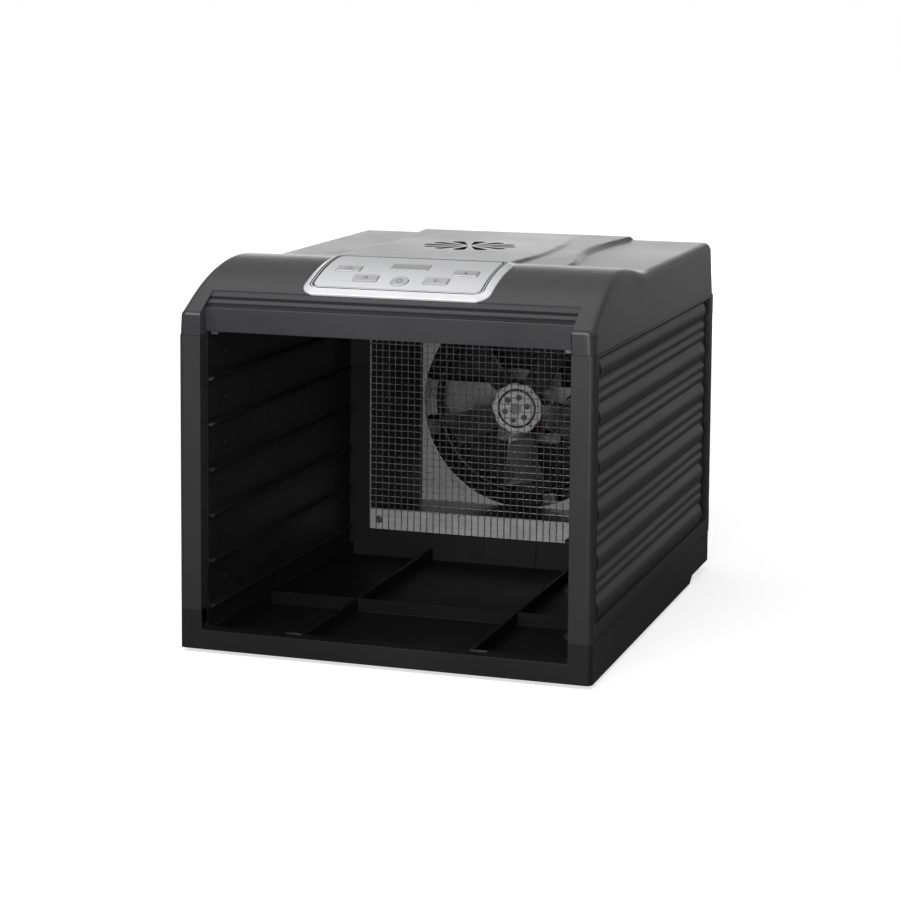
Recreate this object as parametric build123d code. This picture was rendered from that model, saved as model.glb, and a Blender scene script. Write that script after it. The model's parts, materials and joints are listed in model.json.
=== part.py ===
from build123d import *
import math
import os

# Horizontal-flow food dehydrator: a moulded cabinet with tray racks, a rear fan behind a wire guard,
# and a control panel on the rolled front of the top cover. All lengths are in millimetres.
# Modelling frame: x to the right, y back from the posts' front faces, z up from the base's lower edge.
# place() carries it to the part's own frame, whose origin is the middle of the footprint under the feet.

# ---- Body ----
body_width = 345.0
body_depth = 431.0
rear_bulge = 19.0
foot_gap = 3.5
wall = 2.5
corner_radius = 5.0
half_width = body_width / 2
inner_half = half_width - wall
running_gap = 0.3

# ---- Doorway and posts ----
post_width = 19.2
post_depth = 12.0
opening_half = half_width - post_width
cover_seam = 255.9
header_bottom = 258.0
header_y = 12.5
header_top = 276.0

# ---- Base tray ----
base_height = 32.3
sill_height = 16.0
sill_depth = 16.0
floor_level = 5.0
pocket_rim = 4.3
pocket_half = opening_half - pocket_rim
pocket_rib_x = pocket_half / 2 - 3.5
pocket_rib_y = 140.0
pocket_rib = 3.0
lift_notch_start = body_depth - 79.0
lift_notch_run = 10.0
lift_notch_height = 5.5
foot_radius = 9.0
foot_height = 6.0
foot_inset = 32.5
foot_x = half_width - foot_inset
foot_front = 32.0
foot_rear = body_depth - 103.0
foot_ys = (foot_front, foot_rear)

# ---- Outer side panels ----
skin_inset = 4.5
skin_x = half_width - skin_inset
rib_count = 11
rib_pitch = 18.8
rib_top = 252.8
rib_gap = 1.0
rib_rise = 4.0
twin_rise = 2.6
rib_start = 19.5
rib_nose = body_depth - 24.0
channel_start = 5.5
channel_ridges = (8.2, 12.6)
ridge_width = 1.6
ridge_margin = 14.0
rear_strip = 11.0
rear_flange = 22.0

# ---- Tray racks ----
rack_lap = 1.3
rack_face = opening_half - rack_lap
rack_foot = 10.5
ledge_count = 6
ledge_pitch = 37.3
first_ledge = 34.6
ledge_reach = 6.0
ledge_thick = 3.0
ledge_end_gap = 10.0
stop_radius = 2.2
stop_height = 16.0
stop_y = 45.0
spacer_radius = 4.0

# ---- Bulkhead, air hood and fan plate ----
plenum_depth = 91.0
bulkhead_y = body_depth - plenum_depth
hood_margin = 21.3
hood_half = opening_half - hood_margin
hood_bottom = 49.5
hood_top = 250.0
hood_flange = 18.5
hood_top_flange = 7.0
sheet = 1.2
hood_depth = 55.0
fan_plate_y = bulkhead_y + hood_depth
fan_plate_half = hood_half - 14.0
throat_half = hood_half - 32.0
fan_z = 146.5
throat_radius = 97.0
throat_depth = 14.0
riser_ribs = (-20.7, 29.8)

# ---- Wire guard ----
wire = 0.9
wire_pitch = 6.2
guard_inset = 0.7
guard_half = hood_half - guard_inset
guard_bottom = hood_bottom - hood_flange + 0.5
guard_top = hood_top + 6.5

# ---- Fan and motor ----
hub_lead = 21.0
hub_y = fan_plate_y - hub_lead
hub_radius = 24.0
hub_cap_radius = 17.0
bush_radius = 8.0
blade_count = 5
blade_radius = 72.0
blade_root = 18.0
blade_angle = 58.0
blade_y = hub_y + 11.5
blade_sheet = 1.2
rivet_count = 6
rivet_circle = 11.0
shaft_radius = 3.0
strap_y = fan_plate_y + 17.0
strap_sheet = 1.5
strap_height = 34.0
motor_bracket = 4.5
stator_size = 62.0
stator_length = 16.0
rotor_radius = 15.0
motor_air_gap = 0.5
bearing_radius = 6.5
heater_ring_radius = 84.0
heater_tube = 3.25
heater_y = fan_plate_y + 8.0

# ---- Top cover ----
apex_y = 100.0
apex_z = 310.0
roll_radius = 130.0
brow_radius = 10.0
back_radius = 160.0
back_run = 78.0
deck_rear = 303.5
rear_edge_radius = 8.0
side_draft = 0.117
deck_step = 3.4
deck_flank = 3.0
deck_centre = -6.0
pod_centre = -15.0
pod_front = 308.3
pod_rear = 306.8
pod_flank = 2.4
vent_y = 266.0
vent_radius = 44.0
vent_hub = 7.5
vent_slots = 12
vent_slot_width = 7.0

# ---- Control panel, in its own frame on the roll ----
panel_start = 46.0
panel_end = 122.0
panel_width = 150.0
bezel_band = 8.0
bezel_height = 3.4
face_height = 2.0
panel_corner = 9.0
button_width = 20.5
button_length = 11.0
button_rise = 1.1
button_flange = 1.0
button_travel = 0.8
start_radius = 7.2
display_width = 32.0
display_length = 14.0
board_depth = 12.0
board_sheet = 1.6
switch_height = 3.5
# name: (across, up the roll from the panel's middle)
buttons = {
    "timer_button": (-49.5, 6.5),
    "fan_button": (-29.5, -9.5),
    "light_button": (29.5, -9.5),
    "temperature_button": (49.5, 6.5),
}
start_up = -14.0
display_up = 13.5

# ---- Rear cover ----
cover_plate_inset = 12.5
cover_plate_half = half_width - cover_plate_inset
bulge_half = cover_plate_half - 38.0
bulge_bottom = 44.0
bulge_top = 244.0
grille_slots = 13
grille_pitch = 11.0
grille_slot = 4.5
grille_half = 85.0
gland_x = 22.0 - cover_plate_half
gland_z = 42.5

# ---- Screws ----
screw_radius = 1.5
screw_head = 3.2
screw_head_height = 2.0
screw_clearance = 0.1


def block(x0, x1, y0, y1, z0, z1):
    """A box given by its two opposite corners."""
    middle = Pos((x0 + x1) / 2, (y0 + y1) / 2, (z0 + z1) / 2)
    return middle * Box(abs(x1 - x0), abs(y1 - y0), abs(z1 - z0))


def rod_y(radius, y0, y1, x, z):
    """A round bar along y."""
    return Pos(x, (y0 + y1) / 2, z) * Rot(90, 0, 0) * Cylinder(radius, abs(y1 - y0))


def rod_x(radius, x0, x1, y, z):
    """A round bar along x."""
    return Pos((x0 + x1) / 2, y, z) * Rot(0, 90, 0) * Cylinder(radius, abs(x1 - x0))


def rod_z(radius, z0, z1, x, y):
    """A round bar along z."""
    return Pos(x, y, (z0 + z1) / 2) * Cylinder(radius, abs(z1 - z0))


def along_x(face, x0, x1):
    """Extrudes a face drawn in (y, z) from x0 to x1."""
    return extrude(Plane.YZ.offset(x0) * face, amount=x1 - x0)


def polygon(*corners):
    return make_face(Polyline(*corners, close=True))


def joined(first, rest):
    """The first solid with every other one fused to it."""
    for piece in rest:
        first = first + piece
    return first


def cut_all(solid, tools):
    for tool in tools:
        solid = solid - tool
    return solid


def both_sides(piece):
    return [piece, mirror(piece, about=Plane.YZ)]


# ---- Base ----
rack_screw_x = rack_face + wall + rack_foot / 2
rack_screw_ys = (40.0, bulkhead_y / 2 + 10.0, bulkhead_y - 20.0)


def base_tray():
    tray = block(-half_width, half_width, 0, body_depth, 0, base_height)
    tray = fillet(tray.edges().filter_by(Axis.Z), corner_radius)
    floor_underside = floor_level - wall
    rear_y = body_depth - wall
    inside = [
        block(-inner_half, inner_half, wall, rear_y, sill_height, base_height + 1),
        block(-opening_half, opening_half, -1, wall + 1, sill_height, base_height + 1),
        block(-inner_half, inner_half, wall, rear_y, -1, floor_underside),
        block(-inner_half, inner_half, wall, sill_depth - wall, -1, sill_height - wall),
    ]
    for side in (-1, 1):
        edges = sorted((side * (pocket_half + wall), side * inner_half))
        inside.append(block(*edges, wall, rear_y, -1, sill_height - wall))
    rib_half = pocket_rib / 2
    columns = (
        (-pocket_half, -pocket_rib_x - rib_half),
        (-pocket_rib_x + rib_half, pocket_rib_x - rib_half),
        (pocket_rib_x + rib_half, pocket_half),
    )
    rows = (
        (sill_depth, pocket_rib_y - rib_half),
        (pocket_rib_y + rib_half, bulkhead_y + wall),
        (bulkhead_y + 2 * wall, rear_y - wall),
    )
    for x0, x1 in columns:
        for y0, y1 in rows:
            inside.append(block(x0, x1, y0, y1, floor_level, sill_height + 1))
    # The bulkhead stands on the floor, so its seat runs through the long ribs.
    seat_back = bulkhead_y + wall
    inside.append(block(-pocket_half, pocket_half, bulkhead_y, seat_back, floor_level, sill_height + 1))
    tray = cut_all(tray, inside)
    # The lower edge steps up towards the rear, as a grip for lifting.
    notch = polygon(
        (lift_notch_start, -1),
        (lift_notch_start, 0),
        (lift_notch_start + lift_notch_run, lift_notch_height),
        (body_depth + 1, lift_notch_height),
        (body_depth + 1, -1),
    )
    for side in (-1, 1):
        edges = sorted((side * (half_width + 1), side * inner_half))
        tray = tray - along_x(notch, *edges)
    tray = tray - block(-half_width, half_width, body_depth - wall, body_depth + 1, -1, lift_notch_height)
    for x, y in foot_places():
        tray = tray + rod_z(foot_radius + wall, 0, floor_level - wall, x, y)
        tray = tray - rod_z(foot_radius + screw_clearance, -1, foot_seat, x, y)
    for x in (-rack_screw_x, rack_screw_x):
        for y in rack_screw_ys:
            tray = tray - rod_z(screw_radius + screw_clearance, 0, base_height, x, y)
    return tray


foot_seat = foot_height - foot_gap


def foot_places():
    return [(side * foot_x, y) for side in (-1, 1) for y in foot_ys]


def feet():
    pads = []
    for x, y in foot_places():
        pad = rod_z(foot_radius, -foot_gap, foot_seat, x, y)
        pads.append(chamfer(pad.edges().group_by(Axis.Z)[0], 1.0))
    return pads


# ---- Sides ----
def rib_centre(index):
    return rib_top - (index + 0.5) * rib_pitch


def capsule(half_chord, rise, z, shrink):
    """A long round-nosed bulge standing on the side skin; shrink gives its inner surface."""
    radius = (half_chord**2 + rise**2) / (2 * rise)
    axis_x = skin_x + rise - radius
    nose_y = rib_nose - half_chord
    start = rib_start if shrink == 0 else rib_start + wall
    body = rod_y(radius - shrink, start, nose_y, axis_x, z)
    body = body + Pos(axis_x, nose_y, z) * Sphere(radius - shrink)
    keep_from = skin_x - wall - (1 if shrink else 0)
    return body & block(keep_from, half_width + 1, start, body_depth, z - rib_pitch, z + rib_pitch)


def side_ribs(shrink):
    """Tray-channel bulges with a creased twin bulge between each pair."""
    ribs = []
    for index in range(rib_count):
        z = rib_centre(index)
        if index % 2 == 0:
            ribs.append(capsule((rib_pitch - rib_gap) / 2, rib_rise, z, shrink))
        elif shrink == 0:
            twin = (rib_pitch - rib_gap) / 4
            ribs.append(capsule(twin, twin_rise, z + twin, shrink))
            ribs.append(capsule(twin, twin_rise, z - twin, shrink))
    return ribs


def right_side_panel():
    z0, z1 = base_height, cover_seam
    skin_in = skin_x - wall
    post = block(opening_half, half_width, 0, post_depth, z0, z1)
    post = fillet(post.edges().filter_by(Axis.Z).sort_by(Axis.X)[-2:].sort_by(Axis.Y)[0], corner_radius)
    post = post - block(opening_half + wall, skin_x, wall, post_depth + 1, z0 - 1, z1 + 1)
    channel = (z0 + ridge_margin, z1 - ridge_margin)
    post = post - block(skin_x, half_width + 1, channel_start, post_depth + 1, *channel)
    panel = post + block(skin_in, skin_x, wall, body_depth, z0, z1)
    rib_bottom = rib_top - rib_count * rib_pitch
    rear_y = body_depth - rear_strip
    rim_x = half_width - 0.4
    panel = joined(
        panel,
        [
            block(skin_in, rim_x, post_depth - 1, body_depth - wall, rib_top + 0.6, z1),
            block(skin_in, rim_x, post_depth - 1, body_depth - wall, z0, rib_bottom - 0.6),
            block(skin_in, rim_x, rear_y, body_depth, z0, z1),
            block(half_width - rear_flange, rim_x, body_depth - wall, body_depth, z0, z1),
        ],
    )
    for y in channel_ridges:
        half_ridge = ridge_width / 2
        panel = panel + block(skin_in, rim_x, y - half_ridge, y + half_ridge, z0 + 1, z1 - 1)
    panel = joined(panel, side_ribs(0))
    panel = cut_all(panel, [rib & block(0, half_width, 0, body_depth, z0, z1) for rib in side_ribs(wall)])
    hole = screw_radius + screw_clearance
    for z in cover_screw_zs:
        panel = panel - rod_y(hole, body_depth - 2 * wall, body_depth + 1, cover_screw_x, z)
    return panel


def right_tray_rack():
    z0, z1 = sill_height, header_bottom
    back = rack_face + wall
    rack = block(rack_face, back, post_depth, bulkhead_y, z0, z1)
    rack = rack + block(back, back + rack_foot, post_depth, bulkhead_y, z0, z0 + wall)
    rack = rack + block(back, back + rack_foot, post_depth, bulkhead_y, z1 - wall, z1)
    inner = rack_face - ledge_reach
    for index in range(ledge_count):
        top = first_ledge + index * ledge_pitch
        section = polygon(
            (rack_face + 0.5, top),
            (inner, top),
            (inner, top - ledge_thick / 2),
            (rack_face + 0.5, top - ledge_thick - ledge_reach / 3),
        )
        ledge_end = bulkhead_y - ledge_end_gap
        length = ledge_end - post_depth
        ledge = extrude(Plane.XZ.offset(-ledge_end) * section, amount=length)
        tip = ledge.edges().filter_by(Axis.Z).sort_by(Axis.Y)[0:1]
        rack = rack + fillet(tip, ledge_reach / 2)
        rack = rack + rod_x(stop_radius, rack_face - 2, rack_face + 0.5, stop_y, top + stop_height)
    reach = skin_x - wall - back
    for y in spacer_ys:
        for z in spacer_zs:
            rack = rack + rod_x(spacer_radius, back - 0.5, back + reach, y, z)
    for y in rack_screw_ys:
        rack = rack - rod_z(screw_radius + screw_clearance, z0 - 1, z0 + wall + 1, rack_screw_x, y)
        rack = rack - rod_z(screw_radius + screw_clearance, z1 - wall - 1, z1 + 1, rack_screw_x, y)
    return rack


spacer_ys = (60.0, bulkhead_y - 40.0)
spacer_zs = (rib_top - 10 * rib_pitch, rib_top - rib_pitch)


# ---- Rear wall of the cabinet, air hood and fan plate ----
guard_columns = round(2 * guard_half / wire_pitch)
guard_rows = round((guard_top - guard_bottom) / wire_pitch)
column_step = 2 * guard_half / guard_columns
row_step = (guard_top - guard_bottom) / guard_rows


def guard_screw_places():
    """Screws pass between the guard's wires, near its corners."""
    x = guard_half - 1.5 * column_step
    low = guard_bottom + 1.5 * row_step
    high = guard_top - 0.5 * row_step
    return [(side * x, z) for side in (-1, 1) for z in (low, high)]


def bulkhead():
    y0, y1 = bulkhead_y, bulkhead_y + wall
    reach = skin_x - wall - running_gap
    plate = block(-pocket_half + running_gap, pocket_half - running_gap, y0, y1, floor_level, header_bottom)
    plate = plate + block(-reach, reach, y0, y1, base_height, header_bottom)
    plate = plate + block(-reach, reach, y0, y1, sill_height, base_height)
    plate = plate - block(-hood_half, hood_half, y0 - 1, y1 + 1, hood_bottom, hood_top)
    for x in riser_ribs:
        plate = plate + block(x - 1, x + 1, y0 - 1.5, y0, floor_level, hood_bottom - hood_flange)
    for x, z in guard_screw_places():
        plate = plate - rod_y(screw_radius + screw_clearance, y0 - 1, y1 + 1, x, z)
    return plate


def hood_frustum(inset, y_front, y_back):
    """The hood's funnel, from the bulkhead's window to the fan plate."""
    low, high = hood_bottom + inset, hood_top - inset
    middle = (low + high) / 2
    front = Plane.XZ.offset(-y_front) * Pos(0, middle) * Rectangle(2 * (hood_half - inset), high - low)
    back = Plane.XZ.offset(-y_back) * Pos(0, middle) * Rectangle(2 * (throat_half - inset), high - low)
    return loft(Sketch() + [front, back])


def air_hood():
    hood = hood_frustum(0, bulkhead_y - sheet, fan_plate_y)
    hood = hood - hood_frustum(sheet, bulkhead_y - sheet, fan_plate_y)
    y0 = bulkhead_y - sheet
    hood = hood + block(-hood_half, hood_half, y0, bulkhead_y, hood_bottom - hood_flange, hood_bottom)
    hood = hood + block(-hood_half, hood_half, y0, bulkhead_y, hood_top, hood_top + hood_top_flange)
    for x, z in guard_screw_places():
        hood = hood - rod_y(screw_radius + screw_clearance, y0 - 1, bulkhead_y + 1, x, z)
    hood = hood - rod_z(sensor_radius + screw_clearance, hood_top - 5, hood_top + 5, sensor_x, sensor_y)
    return hood


def strap_screw_places():
    x = (fan_plate_half + strap_leg + strap_sheet) / 2
    z_step = strap_height / 2 - 6
    return [(side * x, fan_z + up * z_step) for side in (-1, 1) for up in (-1, 1)]


def fan_plate():
    y0, y1 = fan_plate_y, fan_plate_y + sheet
    plate = block(-fan_plate_half, fan_plate_half, y0, y1, hood_bottom - 8, hood_top + 3)
    lip_end = y1 + throat_depth
    plate = plate + rod_y(throat_radius + sheet, y0, lip_end, 0, fan_z)
    plate = plate + rod_y(throat_radius + 2 * sheet, lip_end - sheet, lip_end, 0, fan_z)
    plate = plate - rod_y(throat_radius, y0 - 1, lip_end + 1, 0, fan_z)
    for x, z in strap_screw_places():
        plate = plate - rod_y(screw_radius + screw_clearance, y0 - 1, y1 + 1, x, z)
    return plate


strap_leg = 104.0


def wire_guard():
    """Welded mesh: upright wires in front, level wires behind, each layer one wire thick."""
    back = bulkhead_y - sheet
    wires = []
    half = wire / 2
    for index in range(guard_columns + 1):
        x = -guard_half + index * column_step
        wires.append(block(x - half, x + half, back - 2 * wire, back - wire, guard_bottom, guard_top))
    for index in range(guard_rows + 1):
        z = guard_bottom + index * row_step
        wires.append(block(-guard_half, guard_half, back - wire, back, z - half, z + half))
    return wires


# ---- Fan ----
def fan_hub():
    """Pressed disc with a raised cap and a bush for the shaft."""
    face = hub_y
    outline = polygon(
        (shaft_radius + 0.02, face),
        (hub_cap_radius - 1.5, face),
        (hub_cap_radius, face + 1.5),
        (hub_radius - 1.0, face + 2.0),
        (hub_radius, face + 3.0),
        (hub_radius, face + 4.0),
        (bush_radius, face + 4.0),
        (bush_radius, face + 14.0),
        (shaft_radius + 0.02, face + 14.0),
    )
    hub = Pos(0, 0, fan_z) * revolve(outline, Axis.Y, 360)
    for x, z in rivet_places():
        hub = hub - rod_y(rivet_radius + 0.05, face - 1, face + 5, x, z)
    return hub


rivet_radius = 1.6


def rivet_places():
    places = []
    for index in range(rivet_count):
        angle = math.radians(index * 360 / rivet_count + 15)
        places.append((rivet_circle * math.cos(angle), fan_z + rivet_circle * math.sin(angle)))
    return places


def fan_rivets():
    rivets = []
    for x, z in rivet_places():
        rivet = rod_y(rivet_radius, hub_y, hub_y + 4 + blade_sheet, x, z)
        rivet = rivet + rod_y(rivet_radius * 1.7, hub_y - 1.1, hub_y, x, z)
        rivets.append(rivet)
    return rivets


def blade_section(radius, chord, pitch):
    lean = math.radians(pitch)
    plane = Plane(origin=(radius, blade_y, 0), x_dir=(0, math.sin(lean), math.cos(lean)), z_dir=(1, 0, 0))
    return plane * Rectangle(chord, blade_sheet)


def fan_blades():
    """A pressed spider: a ring clamped behind the hub and five twisted blades."""
    back = hub_y + 4
    spider = rod_y(hub_radius - 1, back, back + blade_sheet, 0, 0)
    spider = spider - rod_y(bush_radius + screw_clearance, back - 1, back + 5, 0, 0)
    neck = loft(Sketch() + [blade_section(blade_root, 15, 8), blade_section(blade_root + 12, 24, 28)])
    vane = loft(Sketch() + [blade_section(blade_root + 12, 24, 28), blade_section(blade_radius, 38, 33)])
    root_drop = blade_y - back - blade_sheet / 2
    stem = block(blade_root - 6, blade_root + 2, back, back + root_drop + 1, -7, 7)
    blade = neck + vane + stem
    for index in range(blade_count):
        angle = blade_angle + index * 360 / blade_count
        spider = spider + Rot(0, -angle, 0) * blade
    spider = Pos(0, 0, fan_z) * spider
    for x, z in rivet_places():
        spider = spider - rod_y(rivet_radius + 0.05, back - 1, back + 3, x, z)
    return spider


shaft_front = hub_y - 3.0


def fan_nut():
    nut = Rot(90, 0, 0) * extrude(RegularPolygon(5.8, 6), amount=2.9)
    nut = nut - rod_y(shaft_radius + 0.02, -5, 5, 0, 0)
    return Pos(0, hub_y, fan_z) * nut


def motor_shaft():
    return rod_y(shaft_radius, shaft_front, motor_rear - 0.5, 0, fan_z)


def motor_rotor():
    """Squirrel-cage rotor, held between the two bearings."""
    play = 0.15
    rotor = rod_y(rotor_radius, stator_front + play, stator_rear - play, 0, fan_z)
    return rotor - rod_y(shaft_radius + 0.02, stator_front - 1, stator_rear + 1, 0, fan_z)


# ---- Motor ----
motor_front = strap_y + strap_sheet
stator_front = motor_front + motor_bracket
stator_rear = stator_front + stator_length
motor_rear = stator_rear + motor_bracket


def motor_strap():
    """Top-hat strap that carries the motor behind the throat."""
    foot_back = fan_plate_y + sheet
    half_height = strap_height / 2
    low, high = fan_z - half_height, fan_z + half_height
    reach = strap_leg + strap_sheet
    strap = block(-reach, reach, strap_y, strap_y + strap_sheet, low, high)
    for side in (-1, 1):
        leg = sorted((side * strap_leg, side * (strap_leg + strap_sheet)))
        foot = sorted((side * strap_leg, side * fan_plate_half))
        strap = strap + block(*leg, foot_back, strap_y + strap_sheet, low, high)
        strap = strap + block(*foot, foot_back, foot_back + strap_sheet, low, high)
    strap = strap - rod_y(bearing_radius + running_gap, strap_y - 1, strap_y + 5, 0, fan_z)
    for x in motor_screw_xs:
        strap = strap - rod_y(screw_radius + screw_clearance, strap_y - 1, strap_y + 5, x, fan_z)
    for x, z in strap_screw_places():
        strap = strap - rod_y(screw_radius + screw_clearance, foot_back - 1, foot_back + 3, x, z)
    return strap


motor_screw_xs = (-22.0, 22.0)


def end_bracket(y0):
    """Die-cast bridge across the stator with a bearing seat in its middle."""
    y1 = y0 + motor_bracket
    bracket = block(-28, 28, y0, y1, fan_z - 9, fan_z + 9)
    bracket = fillet(bracket.edges().filter_by(Axis.Y), 6)
    bracket = bracket + rod_y(bearing_radius + 3, y0, y1, 0, fan_z)
    bracket = bracket - rod_y(bearing_radius, y0 - 1, y1 + 1, 0, fan_z)
    for x in motor_screw_xs:
        bracket = bracket - rod_y(screw_radius + screw_clearance, y0 - 1, y1 + 1, x, fan_z)
    return bracket


def motor_stator():
    """Square lamination stack of a shaded-pole motor."""
    half = stator_size / 2
    stack = block(-half, half, stator_front, stator_rear, fan_z - half - 8, fan_z + half)
    stack = fillet(stack.edges().filter_by(Axis.Y), 5)
    stack = stack - rod_y(rotor_radius + motor_air_gap, stator_front - 1, stator_rear + 1, 0, fan_z)
    coil_top = fan_z - rotor_radius - 6
    for side in (-1, 1):
        window = sorted((side * 11, side * (half - 7)))
        stack = stack - block(*window, stator_front - 1, stator_rear + 1, fan_z - half, coil_top)
    for x in motor_screw_xs:
        stack = stack - rod_y(screw_radius + screw_clearance, stator_front - 1, stator_rear + 1, x, fan_z)
    return stack


def motor_coil():
    half = stator_size / 2
    coil_top = fan_z - rotor_radius - 6 - running_gap
    coil = block(-18, 18, stator_front - 3.5, stator_rear + 3.5, fan_z - half + running_gap, coil_top)
    coil = fillet(coil.edges().filter_by(Axis.Z), 5)
    return coil - block(-11.1, 11.1, stator_front - 0.1, stator_rear + 0.1, fan_z - half - 1, coil_top + 1)


def bearing(y0):
    ring = rod_y(bearing_radius - 0.02, y0, y0 + motor_bracket, 0, fan_z)
    return ring - rod_y(shaft_radius + 0.05, y0 - 1, y0 + motor_bracket + 1, 0, fan_z)


def motor_screws():
    length = motor_rear - motor_front - 1.0
    return [Pos(x, strap_y, fan_z) * Rot(-90, 0, 0) * screw(length + strap_sheet) for x in motor_screw_xs]


def strap_screws():
    back = fan_plate_y + sheet + strap_sheet
    return [Pos(x, back, z) * Rot(90, 0, 0) * screw(5.0) for x, z in strap_screw_places()]


# ---- Heater and sensors ----
def heater_ring():
    """Sheathed element bent to a ring round the fan, with its two tails at the foot."""
    start = Plane(origin=(heater_ring_radius, heater_y, 0), x_dir=(1, 0, 0), z_dir=(0, 0, 1))
    ring = revolve(start * Circle(heater_tube), Axis.Y, 340)
    ring = Rot(0, 100, 0) * ring
    tails = []
    for turn in (100, 100 - 340):
        tail = rod_y(heater_tube * 0.8, heater_y, heater_y + 18, heater_ring_radius, 0)
        tails.append(Rot(0, turn, 0) * tail)
    return Pos(0, 0, fan_z) * joined(ring, tails)


def heater_clips():
    """Ceramic blocks that hold the element off the throat."""
    inner = heater_ring_radius + heater_tube + 0.05
    outer = throat_radius - 0.2
    clips = []
    y0, y1 = heater_y - 4, heater_y + 4
    section = polygon((inner, y0), (outer, y0), (outer, y1), (inner, y1))
    for angle in (20, 110, 200, 290):
        clips.append(Pos(0, 0, fan_z) * Rot(0, -angle, 0) * revolve(section, Axis.Y, 7))
    return clips


sensor_radius = 2.5
sensor_x = hood_half - 52.0
sensor_y = bulkhead_y + 22.0


def temperature_probe():
    probe = rod_z(sensor_radius, hood_top - 26, hood_top + 2, sensor_x, sensor_y)
    return probe + rod_z(sensor_radius * 2, hood_top, hood_top + 2.5, sensor_x, sensor_y)


def thermal_cutout():
    back = fan_plate_y + sheet
    x, z = 26.0 - fan_plate_half, hood_bottom + 8
    body = rod_y(8, back, back + 7, x, z)
    for side in (-1, 1):
        body = body + block(x + side * 4 - 0.4, x + side * 4 + 0.4, back + 6, back + 14, z - 3, z + 3)
    return body


# ---- Top cover ----
def roll_height(y):
    """Height of the front roll above the depth y."""
    return roll_centre + math.sqrt(roll_radius**2 - (apex_y - y) ** 2)


roll_centre = apex_z - roll_radius
back_drop = back_run**2 / (4 * back_radius)
deck_start = apex_y + back_run
deck_front = apex_z - back_drop


def roll_point(y, depth):
    """A point below the roll's skin, under the place where the skin has the depth y."""
    reach = (roll_radius - depth) / roll_radius
    return (apex_y - (apex_y - y) * reach, roll_centre + (roll_height(y) - roll_centre) * reach)


def deck_height(y):
    return deck_front + (deck_rear - deck_front) * (y - deck_start) / (body_depth - deck_start)


def cover_profile(inset):
    """Side profile of the cover, from the front face over the roll to the rear edge."""
    brow = brow_radius - inset
    roll = roll_radius - inset
    brow_z = roll_centre + math.sqrt((roll_radius - brow_radius) ** 2 - (apex_y - brow_radius) ** 2)
    lean = math.atan2(brow_z - roll_centre, apex_y - brow_radius)
    mid_brow = (math.pi / 2 + lean) / 2 - math.pi / 4
    front = inset
    brow_end = (brow_radius - brow * math.cos(lean), brow_z + brow * math.sin(lean))
    half_lean = lean / 2
    brow_mid = (brow_radius - brow * math.cos(half_lean), brow_z + brow * math.sin(half_lean))
    roll_mid_angle = (lean + math.pi / 2) / 2
    roll_mid = (apex_y - roll * math.cos(roll_mid_angle), roll_centre + roll * math.sin(roll_mid_angle))
    apex = (apex_y, apex_z - inset)
    swing = math.asin(back_run / 2 / back_radius)
    convex = back_radius - inset
    hollow = back_radius + inset
    back_mid = (apex_y + convex * math.sin(swing / 2), apex_z - back_radius + convex * math.cos(swing / 2))
    turn = (apex_y + convex * math.sin(swing), apex_z - back_radius + convex * math.cos(swing))
    low_z = deck_front + back_radius
    low_mid = (deck_start - hollow * math.sin(swing / 2), low_z - hollow * math.cos(swing / 2))
    deck = (deck_start, deck_front - inset)
    rear = body_depth - inset
    edge = rear_edge_radius - inset
    deck_end = (body_depth - rear_edge_radius, deck_rear - inset)
    corner = (rear - edge * (1 - math.sqrt(0.5)), deck_rear - inset - edge * (1 - math.sqrt(0.5)))
    edges = [
        Line((front, cover_seam), (front, brow_z)),
        ThreePointArc((front, brow_z), brow_mid, brow_end),
        ThreePointArc(brow_end, roll_mid, apex),
        ThreePointArc(apex, back_mid, turn),
        ThreePointArc(turn, low_mid, deck),
        Line(deck, deck_end),
        ThreePointArc(deck_end, corner, (rear, deck_rear - rear_edge_radius)),
        Line((rear, deck_rear - rear_edge_radius), (rear, cover_seam)),
        Line((rear, cover_seam), (front, cover_seam)),
    ]
    return make_face(edges)


def cover_sides(inset):
    """Front outline of the cover: the sides lean in towards the top."""
    low, high = cover_seam - 5, apex_z + 10
    lean_low = half_width - inset + 5 * side_draft
    lean_high = half_width - inset - (high - cover_seam) * side_draft
    return polygon((-lean_low, low), (lean_low, low), (lean_high, high), (-lean_high, high))


def deck_outline(inset):
    """Plan of the raised middle of the deck; its sides sweep in and out again."""
    right = [(112, 128), (109, 190), (100, 246), (98, 300), (100, 356), (99.5, body_depth)]
    return mirrored_plan(right, deck_centre, inset)


def pod_outline(inset):
    """Plan of the vent pod on the raised deck."""
    right = [(67, 112), (69, 170), (72, 231), (65, 315), (54, body_depth - 18)]
    return mirrored_plan(right, pod_centre, inset)


def mirrored_plan(right, centre, inset):
    """A closed plan from its right-hand edge, mirrored about a line along y and shrunk sideways."""
    right = [(x - inset, y) for x, y in right]
    left = [(2 * centre - x, y) for x, y in reversed(right)]
    rear = Line(right[-1], left[0])
    front = Line(left[-1], right[0])
    return make_face([Spline(*right), rear, Spline(*left), front])


def raised_area(outline, flank, drop, foot_level, front, rear):
    """A plateau between two (y, z) points, with flanks that slope by the given run per rise."""
    low, high = deck_front - 8, apex_z + 4
    foot = Pos(0, 0, low) * outline(drop - (foot_level - low) * flank)
    head = Pos(0, 0, high) * outline(drop + (high - foot_level) * flank)
    solid = loft(Sketch() + [foot, head], ruled=True)
    y0, z0 = front
    y1, z1 = rear
    edge = rear_edge_radius - wall
    rear_y = y1 - drop
    rear_z = z1 - drop
    under = polygon(
        (y0, low - 1),
        (rear_y, low - 1),
        (rear_y, rear_z - edge),
        (rear_y - edge, rear_z),
        (y0, z0 - drop),
    )
    return solid & along_x(under, -half_width, half_width)


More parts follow.
